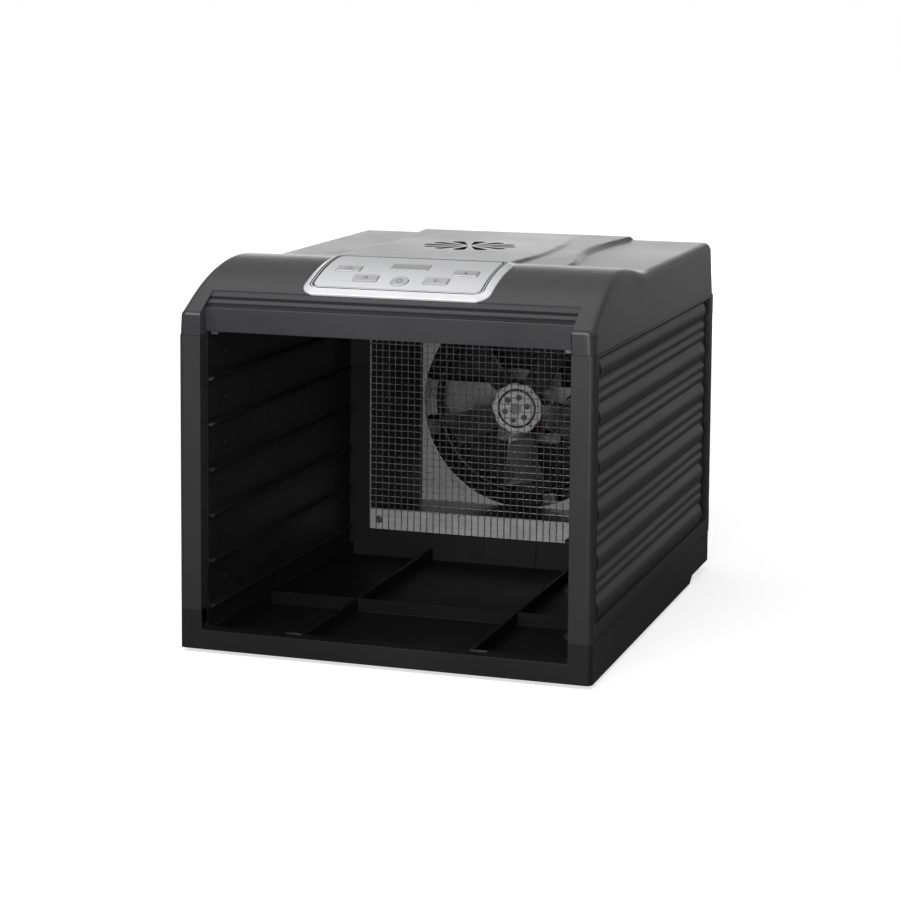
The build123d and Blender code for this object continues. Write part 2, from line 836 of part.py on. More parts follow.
def deck_plateau(drop):
    y0, y1 = apex_y + 20, body_depth
    front = (y0, deck_height(y0) + deck_step)
    rear = (y1, deck_height(y1) + deck_step)
    return raised_area(deck_outline, deck_flank, drop, deck_height(vent_y), front, rear)


def vent_pod(drop):
    foot_level = deck_height(vent_y) + deck_step
    front = (apex_y + 5, pod_front)
    rear = (body_depth - 18, pod_rear)
    return raised_area(pod_outline, pod_flank, drop, foot_level, front, rear)


def header_cut():
    """Space in front of the header, stepped where the door's lip rests on the roll."""
    outside = -5
    steps = [
        (outside, cover_seam - 5),
        (header_y, cover_seam - 5),
        (header_y, header_top),
        roll_point(15.5, 4.2),
        roll_point(17.1, 4.2),
        roll_point(17.1, 1.4),
        roll_point(20.6, 1.0),
        roll_point(20.6, 3.8),
        roll_point(23.0, 3.8),
        roll_point(23.0, 0.9),
        roll_point(28.2, 0.6),
        roll_point(28.6, -1.5),
        (outside, apex_z),
    ]
    return polygon(*steps)


def leaf_slot():
    """A leaf-shaped slot that points along x."""
    near, far = vent_hub, vent_radius
    middle = (near + far) / 2
    half = vent_slot_width / 2
    edge = ThreePointArc((near, 0), (middle, half), (far, 0))
    other = ThreePointArc((far, 0), (middle, -half), (near, 0))
    return make_face([edge, other])


def flower_vent(z0, z1):
    slots = []
    for index in range(vent_slots):
        slot = Rot(0, 0, (index + 0.5) * 360 / vent_slots) * leaf_slot()
        slots.append(Pos(pod_centre, vent_y, z0) * extrude(slot, amount=z1 - z0))
    return slots


def panel_window():
    """Opening in the roll under the faceplate, for the keys and the display."""
    width = panel_width - 2 * bezel_band - 8
    length = panel_length - 2 * bezel_band - 8
    return on_panel(extrude(Rectangle(width, length), amount=20, both=True))


def top_cover():
    body = along_x(cover_profile(0), -half_width, half_width)
    sides = cover_sides(0)
    outer = body & extrude(Plane.XZ.offset(1) * sides, amount=-(body_depth + 2))
    upper = [e for e in outer.edges() if e.center().Z > cover_seam + 1]
    outer = fillet([e for e in upper if abs(e.center().X) > opening_half], corner_radius)
    outer = outer + deck_plateau(0) + vent_pod(0)
    outer = outer - along_x(header_cut(), -opening_half, opening_half)

    inner = along_x(cover_profile(wall), -half_width, half_width)
    inner = inner + block(-half_width, half_width, wall, body_depth - wall, cover_seam - 5, cover_seam + 5)
    inner = inner & extrude(Plane.XZ.offset(1) * cover_sides(wall), amount=-(body_depth + 2))
    inner = inner + deck_plateau(wall) + vent_pod(wall)
    header_back = header_y + wall
    shield = polygon(
        (-5, cover_seam - 6),
        (header_back, cover_seam - 6),
        (header_back, header_top),
        roll_point(30.0, 4.2 + wall),
        roll_point(32.0, 0),
        (-5, apex_z),
    )
    inner = inner - along_x(shield, -opening_half - wall, opening_half + wall)
    cover = outer - inner
    # Below the header the doorway is open right through.
    clear = opening_half + wall + running_gap
    cover = cover - block(-opening_half, opening_half, -1, post_depth, cover_seam - 5, header_bottom)
    cover = cover - block(-clear, clear, post_depth, body_depth - 2 * wall, cover_seam - 5, header_bottom)
    cover = cut_all(cover, flower_vent(apex_z - 20, apex_z + 5))
    cover = cover - panel_window()
    for x, y in boss_places():
        top = deck_height(y) - 1 if y > deck_start else roll_height(y - boss_radius) - 1
        cover = cover + rod_z(boss_radius, ceiling_top, top, x, y)
        cover = cover - rod_z(screw_radius + screw_clearance, ceiling_top - 1, ceiling_top + 9, x, y)
    for x, v in board_screw_places():
        skin = roll_radius - math.sqrt(roll_radius**2 - v**2)
        post = Pos(x, v, (-board_depth - skin - 1) / 2) * Cylinder(3.5, board_depth - skin - 1)
        hole = Pos(x, v, -board_depth) * Cylinder(screw_radius + screw_clearance, 12)
        cover = cover + on_panel(post) - on_panel(hole)
    return cover


boss_radius = 5.0
boss_x = opening_half - 23.3
boss_ys = (34.0, body_depth - 36.0)


def boss_places():
    return [(side * boss_x, y) for side in (-1, 1) for y in boss_ys]


# ---- Ceiling ----
ceiling_top = header_bottom + wall


def ceiling_liner():
    """Ceiling of the tray space and floor of the electronics bay."""
    front = header_y + wall
    reach = inner_half - 1.5
    plate = block(-reach, reach, front, body_depth - wall - 1, header_bottom, ceiling_top)
    low, high = header_bottom - 1, ceiling_top + 1
    for index in range(5):
        y = vent_y + (index - 2) * 12
        plate = plate - block(pod_centre - 30, pod_centre + 30, y - 2, y + 2, low, high)
    for x, y in boss_places():
        plate = plate - rod_z(screw_radius + screw_clearance, header_bottom - 1, ceiling_top + 1, x, y)
    hole = screw_radius + screw_clearance
    for x in (-rack_screw_x, rack_screw_x):
        for y in rack_screw_ys:
            plate = plate - rod_z(hole, header_bottom - 1, ceiling_top + 1, x, y)
    for x, y in power_posts():
        plate = plate + rod_z(3.5, ceiling_top - 0.5, ceiling_top + power_gap, x, y)
    return plate


# ---- Control panel ----
panel_length = panel_end - panel_start
arc_to_apex = roll_radius * math.asin(apex_y / roll_radius) + 4.0
panel_angle = math.degrees((arc_to_apex - (panel_start + panel_end) / 2) / roll_radius)
panel_lean = math.radians(panel_angle)
panel_origin = (
    0,
    apex_y - roll_radius * math.sin(panel_lean),
    roll_centre + roll_radius * math.cos(panel_lean),
)
panel_normal = (0, -math.sin(panel_lean), math.cos(panel_lean))
panel_plane = Plane(origin=panel_origin, x_dir=(1, 0, 0), z_dir=panel_normal)


def on_panel(shape):
    """Carries a shape from the panel's flat frame (x across, y up the roll, z outwards) onto the cover."""
    return panel_plane.location * shape


def curved_layer(width, length, corner, low, high):
    """A rounded rectangle that follows the roll, between two heights above its skin."""
    plan = extrude(RectangleRounded(width, length, corner), amount=30, both=True)
    outer = Pos(0, 0, -roll_radius) * Rot(0, 90, 0) * Cylinder(roll_radius + high, width + 20)
    inner = Pos(0, 0, -roll_radius) * Rot(0, 90, 0) * Cylinder(roll_radius + low, width + 20)
    return plan & (outer - inner)


def control_bezel():
    ring = curved_layer(panel_width, panel_length, panel_corner, 0.02, bezel_height)
    hole_width = panel_width - 2 * bezel_band
    hole_length = panel_length - 2 * bezel_band
    corner = panel_corner - bezel_band / 2
    hole = extrude(RectangleRounded(hole_width, hole_length, corner), amount=30, both=True)
    ring = ring - hole
    top = ring.faces().sort_by(Axis.Z)[-1]
    ring = chamfer(top.outer_wire().edges(), 1.4)
    return on_panel(ring)


def key_hole(width, length):
    plan = RectangleRounded(width + 2 * running_gap, length + 2 * running_gap, 2.0)
    return extrude(plan, amount=30, both=True)


def control_faceplate():
    width = panel_width - 2 * (bezel_band + running_gap)
    length = panel_length - 2 * (bezel_band + running_gap)
    plate = curved_layer(width, length, panel_corner - bezel_band / 2, 0.05, face_height)
    for x, up in buttons.values():
        plate = plate - Pos(x, up) * key_hole(button_width, button_length)
    plate = plate - Pos(0, start_up) * extrude(Circle(start_radius + running_gap), amount=30, both=True)
    plate = plate - Pos(0, display_up) * key_hole(display_width, display_length)
    return on_panel(plate)


def roll_sag(v):
    """How far the roll's skin lies below the panel's middle at v."""
    return roll_radius - math.sqrt(roll_radius**2 - v**2)


def key(plan, flange_plan, up, reach):
    """A key: cap through the faceplate, flange beneath it and a stem above its switch."""
    top = face_height + button_rise - roll_sag(up)
    flange_top = -roll_sag(abs(up) + reach) - running_gap
    cap = Pos(0, 0, flange_top) * extrude(plan, amount=top - flange_top)
    cap = chamfer(cap.edges().group_by(Axis.Z)[-1], 0.5)
    flange = Pos(0, 0, flange_top - button_flange) * extrude(flange_plan, amount=button_flange)
    stem_low = -board_depth + switch_height + button_travel + 0.15
    stem = Pos(0, 0, stem_low) * extrude(Circle(2.2), amount=flange_top - button_flange - stem_low)
    return cap + flange + stem


def rectangular_button(name):
    x, up = buttons[name]
    plan = RectangleRounded(button_width, button_length, 1.8)
    flange = RectangleRounded(button_width + 3, button_length + 3, 2.5)
    return on_panel(Pos(x, up) * key(plan, flange, up, button_length / 2 + 1.5))


def start_button():
    reach = start_radius + 1.5
    return on_panel(Pos(0, start_up) * key(Circle(start_radius), Circle(reach), start_up, reach))


def display_window():
    skin = -roll_sag(display_up)
    lens = RectangleRounded(display_width, display_length, 1.8)
    pane = Pos(0, display_up, skin - 0.6) * extrude(lens, amount=face_height + 0.9)
    return on_panel(pane)


def display_module():
    skin = -roll_sag(display_up)
    low = -board_depth
    height = skin - 0.6 - low
    module = Box(display_width - 2, display_length - 2, height)
    return on_panel(Pos(0, display_up, low + height / 2) * module)


def board_screw_places():
    x = panel_width / 2 - bezel_band - 1.0
    v = panel_length / 2 - bezel_band - 6.0
    return [(side * x, up * v) for side in (-1, 1) for up in (-1, 1)]


def control_board():
    width = panel_width - 4
    board = Pos(0, 0, -board_depth - board_sheet / 2) * Box(width, panel_length - 18, board_sheet)
    for x, v in board_screw_places():
        board = board - Pos(x, v, -board_depth) * Cylinder(screw_radius + screw_clearance, 10)
    return on_panel(board)


def button_switches():
    places = list(buttons.values()) + [(0, start_up)]
    switches = []
    for x, up in places:
        can = Pos(x, up, -board_depth + 1.1) * Box(6, 6, 2.2)
        plunger = Pos(x, up, -board_depth + switch_height / 2 + 0.5) * Cylinder(1.7, switch_height - 1.0)
        switches.append(on_panel(can + plunger))
    return switches


def board_screws():
    back = -board_depth - board_sheet
    return [on_panel(Pos(x, v, back) * screw(6.0)) for x, v in board_screw_places()]


# ---- Power electronics ----
power_x, power_y = 95.0, 330.0
power_width, power_length = 100.0, 80.0
power_gap = 6.0


def power_posts():
    x, y = power_width / 2 - 6, power_length / 2 - 6
    return [(power_x + a * x, power_y + b * y) for a in (-1, 1) for b in (-1, 1)]


def power_board():
    z = ceiling_top + power_gap + board_sheet / 2
    return Pos(power_x, power_y, z) * Box(power_width, power_length, board_sheet)


def power_parts():
    """Transformer, relay, two capacitors and the terminal strip on the power board."""
    z0 = ceiling_top + power_gap + board_sheet
    x, y = power_x, power_y
    return [
        block(x - 40, x - 14, y - 20, y + 4, z0, z0 + 20),
        block(x - 6, x + 10, y - 22, y - 4, z0, z0 + 15),
        rod_z(6, z0, z0 + 16, x + 24, y - 10),
        rod_z(6, z0, z0 + 16, x + 24, y + 6),
        block(x - 30, x + 30, y + 20, y + 30, z0, z0 + 11),
    ]


# ---- Rear cover ----
cover_screw_x = cover_plate_half - 4.0
cover_screw_zs = (60.0, 145.0, 228.0)


def rear_cover():
    """Back panel with a bulge over the motor and an intake grille."""
    y0, y1 = body_depth, body_depth + wall
    plate = block(-cover_plate_half, cover_plate_half, y0, y1, base_height - 8, cover_seam + 10)
    for z0 in (base_height + 5, cover_seam - 19):
        reach = half_width - 0.6
        tab = block(-reach, reach, y0, y0 + 4.5, z0, z0 + 17)
        plate = plate + fillet(tab.edges().filter_by(Axis.Z).sort_by(Axis.Y)[-2:], 3.0)
    middle = (bulge_bottom + bulge_top) / 2
    foot = Plane.XZ.offset(-y0) * Pos(0, middle) * Rectangle(2 * bulge_half, bulge_top - bulge_bottom)
    head_size = (2 * bulge_half - 14, bulge_top - bulge_bottom - 14)
    head = Plane.XZ.offset(-y0 - rear_bulge) * Pos(0, middle) * Rectangle(*head_size)
    bulge = loft(Sketch() + [foot, head])
    bulge = fillet(bulge.edges().filter_by(lambda e: e.center().Y > y0 + 1), 6)
    inner_size = (2 * bulge_half - 2 * wall, bulge_top - bulge_bottom - 2 * wall)
    inner_foot = Plane.XZ.offset(-y0 + 1) * Pos(0, middle) * Rectangle(*inner_size)
    inner_size = (head_size[0] - 2 * wall, head_size[1] - 2 * wall)
    inner_head = Plane.XZ.offset(-y0 - rear_bulge + wall) * Pos(0, middle) * Rectangle(*inner_size)
    cover = plate + bulge - loft(Sketch() + [inner_foot, inner_head])
    for index in range(grille_slots):
        z = fan_z + (index - (grille_slots - 1) / 2) * grille_pitch
        slot = Plane.XZ.offset(-y0 - rear_bulge - 1) * Pos(0, z) * SlotOverall(2 * grille_half, grille_slot)
        cover = cover - extrude(slot, amount=wall + 3)
    for x in (-cover_screw_x, cover_screw_x):
        for z in cover_screw_zs:
            cover = cover - rod_y(screw_radius + screw_clearance, y0 - 1, y1 + 3, x, z)
    return cover - rod_y(gland_neck + screw_clearance, y0 - 1, y0 + 8, gland_x, gland_z)


gland_neck = 6.0
gland_bore = 3.6


def cord_gland():
    back = body_depth + 4.5
    gland = rod_y(gland_neck, body_depth - wall, back + 2, gland_x, gland_z)
    gland = gland + rod_y(gland_neck + 3, back, back + 3, gland_x, gland_z)
    gland = gland + rod_y(gland_neck + 2, body_depth - wall - 1.5, body_depth - 0.1, gland_x, gland_z)
    return gland - rod_y(gland_bore, body_depth - 2 * wall, back + 5, gland_x, gland_z)


# ---- Door fittings ----
magnet_inset = 2.8
magnet_width = 6.0
catch_length = 14.0


def door_magnets():
    """Two magnets under the header that hold the lift-off door."""
    y0 = header_y + wall + 0.5
    outer = opening_half - magnet_inset
    return both_sides(block(outer - magnet_width, outer, y0, y0 + 6, header_bottom - 2.5, header_bottom))


def sill_catches():
    """Two steel strips on the sill for the door's lower edge."""
    y1 = sill_depth - 1
    strip = block(pocket_rib_x, pocket_rib_x + catch_length, y1 - 3, y1, sill_height, sill_height + 0.8)
    return both_sides(strip)


# ---- Screws ----
def screw(length):
    """A pan-head screw along +z with its head below z = 0."""
    head = Pos(0, 0, -screw_head_height / 2) * Cylinder(screw_head, screw_head_height)
    head = chamfer(head.edges().group_by(Axis.Z)[0], 0.7)
    return head + Pos(0, 0, length / 2) * Cylinder(screw_radius, length)


def guard_screws():
    front = bulkhead_y - sheet - 2 * wire
    return [Pos(x, front, z) * Rot(-90, 0, 0) * screw(8.0) for x, z in guard_screw_places()]


def rack_screws():
    """Screws that fix the racks to the base from below and to the ceiling from above."""
    screws = []
    for x in (-rack_screw_x, rack_screw_x):
        for y in rack_screw_ys:
            screws.append(Pos(x, y, sill_height - wall) * screw(7.0))
            screws.append(Pos(x, y, ceiling_top) * Rot(180, 0, 0) * screw(7.0))
    return screws


def cover_screws():
    return [Pos(x, y, header_bottom) * screw(9.0) for x, y in boss_places()]


def rear_cover_screws():
    back = body_depth + wall
    screws = []
    for x in (-cover_screw_x, cover_screw_x):
        for z in cover_screw_zs:
            screws.append(Pos(x, back, z) * Rot(90, 0, 0) * screw(6.5))
    return screws


def place(shape):
    """Carries a piece from the modelling frame to the part's own frame."""
    return Pos(0, -(body_depth + rear_bulge) / 2, foot_gap) * shape


def save(name, shapes):
    """Writes one node; a list becomes a group of separate solids."""
    if isinstance(shapes, list):
        node = Compound(children=[place(s) for s in shapes])
    else:
        node = place(shapes)
    node.label = name
    export_step(node, f"parts/{name}.step")


def main():
    os.makedirs("parts", exist_ok=True)
    right_panel = right_side_panel()
    right_rack = right_tray_rack()
    save("base_tray", base_tray())
    save("feet", feet())
    save("right_side_panel", right_panel)
    save("left_side_panel", mirror(right_panel, about=Plane.YZ))
    save("right_tray_rack", right_rack)
    save("left_tray_rack", mirror(right_rack, about=Plane.YZ))
    save("bulkhead", bulkhead())
    save("air_hood", air_hood())
    save("fan_plate", fan_plate())
    save("wire_guard", wire_guard())
    save("guard_screws", guard_screws())
    save("fan_hub", fan_hub())
    save("fan_blades", fan_blades())
    save("fan_rivets", fan_rivets())
    save("fan_nut", fan_nut())
    save("motor_shaft", motor_shaft())
    save("motor_rotor", motor_rotor())
    save("motor_strap", motor_strap())
    save("motor_front_bracket", end_bracket(motor_front))
    save("motor_rear_bracket", end_bracket(stator_rear))
    save("motor_stator", motor_stator())
    save("motor_coil", motor_coil())
    save("front_bearing", bearing(motor_front))
    save("rear_bearing", bearing(stator_rear))
    save("motor_screws", motor_screws())
    save("strap_screws", strap_screws())
    save("heater_ring", heater_ring())
    save("heater_clips", heater_clips())
    save("temperature_probe", temperature_probe())
    save("thermal_cutout", thermal_cutout())
    save("top_cover", top_cover())
    save("ceiling_liner", ceiling_liner())
    save("control_bezel", control_bezel())
    save("control_faceplate", control_faceplate())
    for name in buttons:
        save(name, rectangular_button(name))
    save("start_button", start_button())
    save("display_window", display_window())
    save("display_module", display_module())
    save("control_board", control_board())
    save("button_switches", button_switches())
    save("board_screws", board_screws())
    save("power_board", power_board())
    save("power_parts", power_parts())
    save("rear_cover", rear_cover())
    save("rear_cover_screws", rear_cover_screws())
    save("cord_gland", cord_gland())
    save("door_magnets", door_magnets())
    save("sill_catches", sill_catches())
    save("rack_screws", rack_screws())
    save("cover_screws", cover_screws())


main()
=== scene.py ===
import json
import math

import bmesh
import bpy
from mathutils import Matrix, Vector


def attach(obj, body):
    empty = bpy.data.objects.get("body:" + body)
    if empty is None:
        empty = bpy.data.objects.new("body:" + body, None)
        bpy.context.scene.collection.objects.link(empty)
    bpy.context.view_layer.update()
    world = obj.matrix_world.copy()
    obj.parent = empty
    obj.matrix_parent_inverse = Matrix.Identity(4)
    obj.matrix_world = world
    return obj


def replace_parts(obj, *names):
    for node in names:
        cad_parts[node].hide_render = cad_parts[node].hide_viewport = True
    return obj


# Horizontal-flow food dehydrator. Sizes are in millimetres in the cabinet's own frame: x to the right,
# y back from the front of the posts, z up from the lower edge of the base. at() gives the place in metres.

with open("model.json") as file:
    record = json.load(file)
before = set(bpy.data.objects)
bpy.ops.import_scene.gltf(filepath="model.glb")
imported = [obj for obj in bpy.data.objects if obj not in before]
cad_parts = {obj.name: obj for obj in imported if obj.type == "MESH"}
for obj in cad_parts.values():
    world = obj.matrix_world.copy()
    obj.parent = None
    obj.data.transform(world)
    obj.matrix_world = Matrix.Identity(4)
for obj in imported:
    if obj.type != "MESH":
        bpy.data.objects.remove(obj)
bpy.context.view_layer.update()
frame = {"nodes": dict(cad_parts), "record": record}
cabinet_depth = 450.0
cabinet_back = 431.0
foot_gap = 3.5
half_width = 172.5
cover_seam = 255.9
opening_half = 153.3
wall = 2.5
fan_z = 146.5


def at(x, y, z):
    return Vector((x, y - cabinet_depth / 2, z + foot_gap)) / 1000


def mm(length):
    return length / 1000


def deselect():
    bpy.ops.object.select_all(action="DESELECT")


def only(piece):
    deselect()
    piece.select_set(True)
    bpy.context.view_layer.objects.active = piece


# ---- Parts of a node tree ----
def spread(tree, value, low, high, to_low, to_high):
    node = tree.nodes.new("ShaderNodeMapRange")
    node.inputs["From Min"].default_value = low
    node.inputs["From Max"].default_value = high
    node.inputs["To Min"].default_value = to_low
    node.inputs["To Max"].default_value = to_high
    tree.links.new(value, node.inputs["Value"])
    return node.outputs["Result"]


def math_node(tree, operation, first, second):
    node = tree.nodes.new("ShaderNodeMath")
    node.operation = operation
    for socket, value in zip(node.inputs, (first, second)):
        if isinstance(value, (int, float)):
            socket.default_value = value
        else:
            tree.links.new(value, socket)
    return node.outputs[0]


# ---- Camera, light and floor ----
def camera():
    data = bpy.data.cameras.new("camera")
    data.lens = 95.809
    data.shift_y = -0.20257
    data.sensor_width = 36.0
    data.clip_start = 0.05
    data.clip_end = 30.0
    eye = bpy.data.objects.new("camera", data)
    right = Vector((0.950519, 0.31059, 0.006894))
    up = Vector((-0.040309, 0.101295, 0.99404))
    back = Vector((0.30804, -0.945131, 0.108802))
    turn = Matrix((right, up, back)).transposed().to_4x4()
    eye.matrix_world = Matrix.Translation((0.62314, -1.96461, 0.52289)) @ turn
    bpy.context.scene.collection.objects.link(eye)
    bpy.context.scene.camera = eye


def softbox(name, place, target, width, height, power):
    data = bpy.data.lights.new(name, "AREA")
    data.shape = "RECTANGLE"
    data.size = width
    data.size_y = height
    data.energy = power
    lamp = bpy.data.objects.new(name, data)
    aim = Vector(target) - Vector(place)
    lamp.matrix_world = Matrix.Translation(place) @ aim.to_track_quat("-Z", "Y").to_matrix().to_4x4()
    bpy.context.scene.collection.objects.link(lamp)


def shown_rays(tree, shares):
    """How far a ray shows the background: shares for rays from the eye, off a gloss and through glass."""
    path = tree.nodes.new("ShaderNodeLightPath")
    total = None
    for ray, share in zip(("Is Camera Ray", "Is Glossy Ray", "Is Transmission Ray"), shares):
        part = math_node(tree, "MULTIPLY", path.outputs[ray], share)
        total = math_node(tree, "MAXIMUM", total, part) if total else part
    return total


def lights():
    # Each softbox: its name, place and target, its width, height and power.
    softbox("top_softbox", (0.0, 0.25, 1.9), (0.0, 0.1, 0.2), 2.2, 1.6, 9.0)
    softbox("front_softbox", (-0.1, -0.68, 0.52), (0.0, -0.2, 0.22), 0.9, 0.25, 4.2)
    softbox("doorway_softbox", (0.35, -1.5, 0.32), (0.0, 0.15, 0.14), 0.7, 0.3, 6.6)
    softbox("right_softbox", (1.7, 0.2, 1.3), (0.1, 0.1, 0.25), 1.2, 0.8, 0.9)
    softbox("back_softbox", (-1.35, 2.6, 0.50), (-0.5, 0.0, 0.4), 3.0, 0.8, 14.0)
    world = bpy.data.worlds.new("studio")
    bpy.context.scene.world = world
    world.use_nodes = True
    tree = world.node_tree
    tree.nodes.clear()
    out = tree.nodes.new("ShaderNodeOutputWorld")
    seen = tree.nodes.new("ShaderNodeBackground")
    seen.inputs["Color"].default_value = (1.0, 1.0, 1.0, 1.0)
    seen.inputs["Strength"].default_value = 1.0
    fill = tree.nodes.new("ShaderNodeBackground")
    fill.inputs["Color"].default_value = (0.97, 0.98, 1.0, 1.0)
    fill.inputs["Strength"].default_value = 0.24
    mix = tree.nodes.new("ShaderNodeMixShader")
    tree.links.new(shown_rays(tree, (1.0, 0.2, 1.0)), mix.inputs[0])
    tree.links.new(fill.outputs[0], mix.inputs[1])
    tree.links.new(seen.outputs[0], mix.inputs[2])
    tree.links.new(mix.outputs[0], out.inputs["Surface"])


def floor():
    """Pale sweep: the eye sees it white with the shadow on it, and its glow is weaker near the cabinet, a
    painted pale shade around it; in the plastic only its far part is bright.
    """
    deselect()
    bpy.ops.mesh.primitive_plane_add(size=40.0, location=(0, 0, 0))
    ground = bpy.context.object
    ground.name = "studio_floor"
    material = bpy.data.materials.new("studio_floor")
    material.use_nodes = True
    tree = material.node_tree
    tree.nodes.clear()
    out = tree.nodes.new("ShaderNodeOutputMaterial")
    shown = tree.nodes.new("ShaderNodeBsdfDiffuse")
    shown.inputs["Color"].default_value = (0.72, 0.72, 0.72, 1.0)
    glow = tree.nodes.new("ShaderNodeEmission")
    both = tree.nodes.new("ShaderNodeAddShader")
    dim = tree.nodes.new("ShaderNodeBsdfDiffuse")
    dim.inputs["Color"].default_value = (0.2, 0.2, 0.2, 1.0)
    place = tree.nodes.new("ShaderNodeNewGeometry")
    away = tree.nodes.new("ShaderNodeVectorMath")
    away.operation = "LENGTH"
    mix = tree.nodes.new("ShaderNodeMixShader")
    tree.links.new(place.outputs["Position"], away.inputs[0])
    mirrored = spread(tree, away.outputs["Value"], 1.2, 3.2, 0.0, 0.26)
    # Weaker glow near the cabinet: a painted pale shade around it.
    glow_dimmed_near_cabinet = spread(tree, away.outputs["Value"], 0.45, 2.2, 0.65, 1.0)
    tree.links.new(glow_dimmed_near_cabinet, glow.inputs["Strength"])
    tree.links.new(shown.outputs[0], both.inputs[0])
    tree.links.new(glow.outputs[0], both.inputs[1])
    tree.links.new(shown_rays(tree, (1.0, mirrored, 1.0)), mix.inputs[0])
    tree.links.new(dim.outputs[0], mix.inputs[1])
    tree.links.new(both.outputs[0], mix.inputs[2])
    tree.links.new(mix.outputs[0], out.inputs["Surface"])
    ground.data.materials.append(material)


# ---- Finishes ----
def group_tree(name, inputs, outputs):
    tree = bpy.data.node_groups.new(name, "ShaderNodeTree")
    for label, value in inputs:
        socket = tree.interface.new_socket(label, in_out="INPUT", socket_type="NodeSocketFloat")
        socket.default_value = value
    for label in outputs:
        tree.interface.new_socket(label, in_out="OUTPUT", socket_type="NodeSocketFloat")
    return tree, tree.nodes.new("NodeGroupInput"), tree.nodes.new("NodeGroupOutput")


def noise(tree, source, scale, detail):
    node = tree.nodes.new("ShaderNodeTexNoise")
    node.inputs["Detail"].default_value = detail
    node.inputs["Roughness"].default_value = 0.55
    tree.links.new(source, node.inputs["Vector"])
    tree.links.new(scale, node.inputs["Scale"])
    return node.outputs["Fac"]


def moulded_grain():
    """Spark-eroded texture of a mould, with the slow unevenness of a large wall."""
    tree, entry, result = group_tree("moulded_grain", [("Scale", 1400.0), ("Drift", 9.0)], ["Tone", "Height"])
    place = tree.nodes.new("ShaderNodeTexCoord")
    fine = noise(tree, place.outputs["Object"], entry.outputs["Scale"], 2.0)
    pits = tree.nodes.new("ShaderNodeTexVoronoi")
    pits.feature = "SMOOTH_F1"
    tree.links.new(place.outputs["Object"], pits.inputs["Vector"])
    tree.links.new(entry.outputs["Scale"], pits.inputs["Scale"])
    slow = noise(tree, place.outputs["Object"], entry.outputs["Drift"], 4.0)
    height = math_node(tree, "ADD", fine, pits.outputs["Distance"])
    fine_share = spread(tree, fine, 0.3, 0.7, 0.0, 0.45)
    slow_share = spread(tree, slow, 0.35, 0.65, 0.0, 0.55)
    tree.links.new(math_node(tree, "ADD", fine_share, slow_share), result.inputs["Tone"])
    tree.links.new(height, result.inputs["Height"])
    return tree


def sheet_grain():
    """Spangle of galvanised or rolled sheet, with fine drawing lines along one way."""
    tree, entry, result = group_tree("sheet_grain", [("Cells", 160.0), ("Lines", 900.0)], ["Tone", "Height"])
    place = tree.nodes.new("ShaderNodeTexCoord")
    cells = tree.nodes.new("ShaderNodeTexVoronoi")
    tree.links.new(place.outputs["Object"], cells.inputs["Vector"])
    tree.links.new(entry.outputs["Cells"], cells.inputs["Scale"])
    parts = tree.nodes.new("ShaderNodeSeparateColor")
    tree.links.new(cells.outputs["Color"], parts.inputs["Color"])
    squeeze = tree.nodes.new("ShaderNodeMapping")
    squeeze.inputs["Scale"].default_value = (0.05, 1.0, 1.0)
    tree.links.new(place.outputs["Object"], squeeze.inputs["Vector"])
    lines = noise(tree, squeeze.outputs["Vector"], entry.outputs["Lines"], 3.0)
    tone = math_node(tree, "ADD", math_node(tree, "MULTIPLY", parts.outputs[0], 0.6),
                     math_node(tree, "MULTIPLY", lines, 0.4))
    tree.links.new(tone, result.inputs["Tone"])
    tree.links.new(lines, result.inputs["Height"])
    return tree


grain_of = {"moulded": moulded_grain(), "sheet": sheet_grain()}
finishes = {}


def finish(name, grain, dark, light, smooth, rough, metallic=0.0, bump=0.1, depth=0.00005, sizes=(), **more):
    """A material whose colour and roughness drift between two values with a grain, which also lifts it."""
    material = bpy.data.materials.new(name)
    material.use_nodes = True
    tree = material.node_tree
    shader = tree.nodes["Principled BSDF"]
    shader.inputs["Metallic"].default_value = metallic
    for socket, value in more.items():
        shader.inputs[socket.replace("_", " ")].default_value = value
    grains = tree.nodes.new("ShaderNodeGroup")
    grains.node_tree = grain_of[grain]
    for label, value in zip(grains.inputs.keys(), sizes):
        grains.inputs[label].default_value = value
    mix = tree.nodes.new("ShaderNodeMix")
    mix.data_type = "RGBA"
    mix.inputs["A"].default_value = (*dark, 1.0)
    mix.inputs["B"].default_value = (*light, 1.0)
    tree.links.new(grains.outputs["Tone"], mix.inputs["Factor"])
    tree.links.new(mix.outputs["Result"], shader.inputs["Base Color"])
    tree.links.new(spread(tree, grains.outputs["Tone"], 0.0, 1.0, smooth, rough), shader.inputs["Roughness"])
    lift = tree.nodes.new("ShaderNodeBump")
    lift.inputs["Strength"].default_value = bump
    lift.inputs["Distance"].default_value = depth
    tree.links.new(grains.outputs["Height"], lift.inputs["Height"])
    tree.links.new(lift.outputs["Normal"], shader.inputs["Normal"])
    finishes[name] = material


def grey(value):
    return (value, value, value * 1.01)


def plastic(name, dark, light, smooth, rough, **more):
    finish(name, "moulded", dark, light, smooth, rough, **more)


def metal(name, dark, light, smooth, rough, metallic=1.0, **more):
    finish(name, "sheet", dark, light, smooth, rough, metallic=metallic, **more)


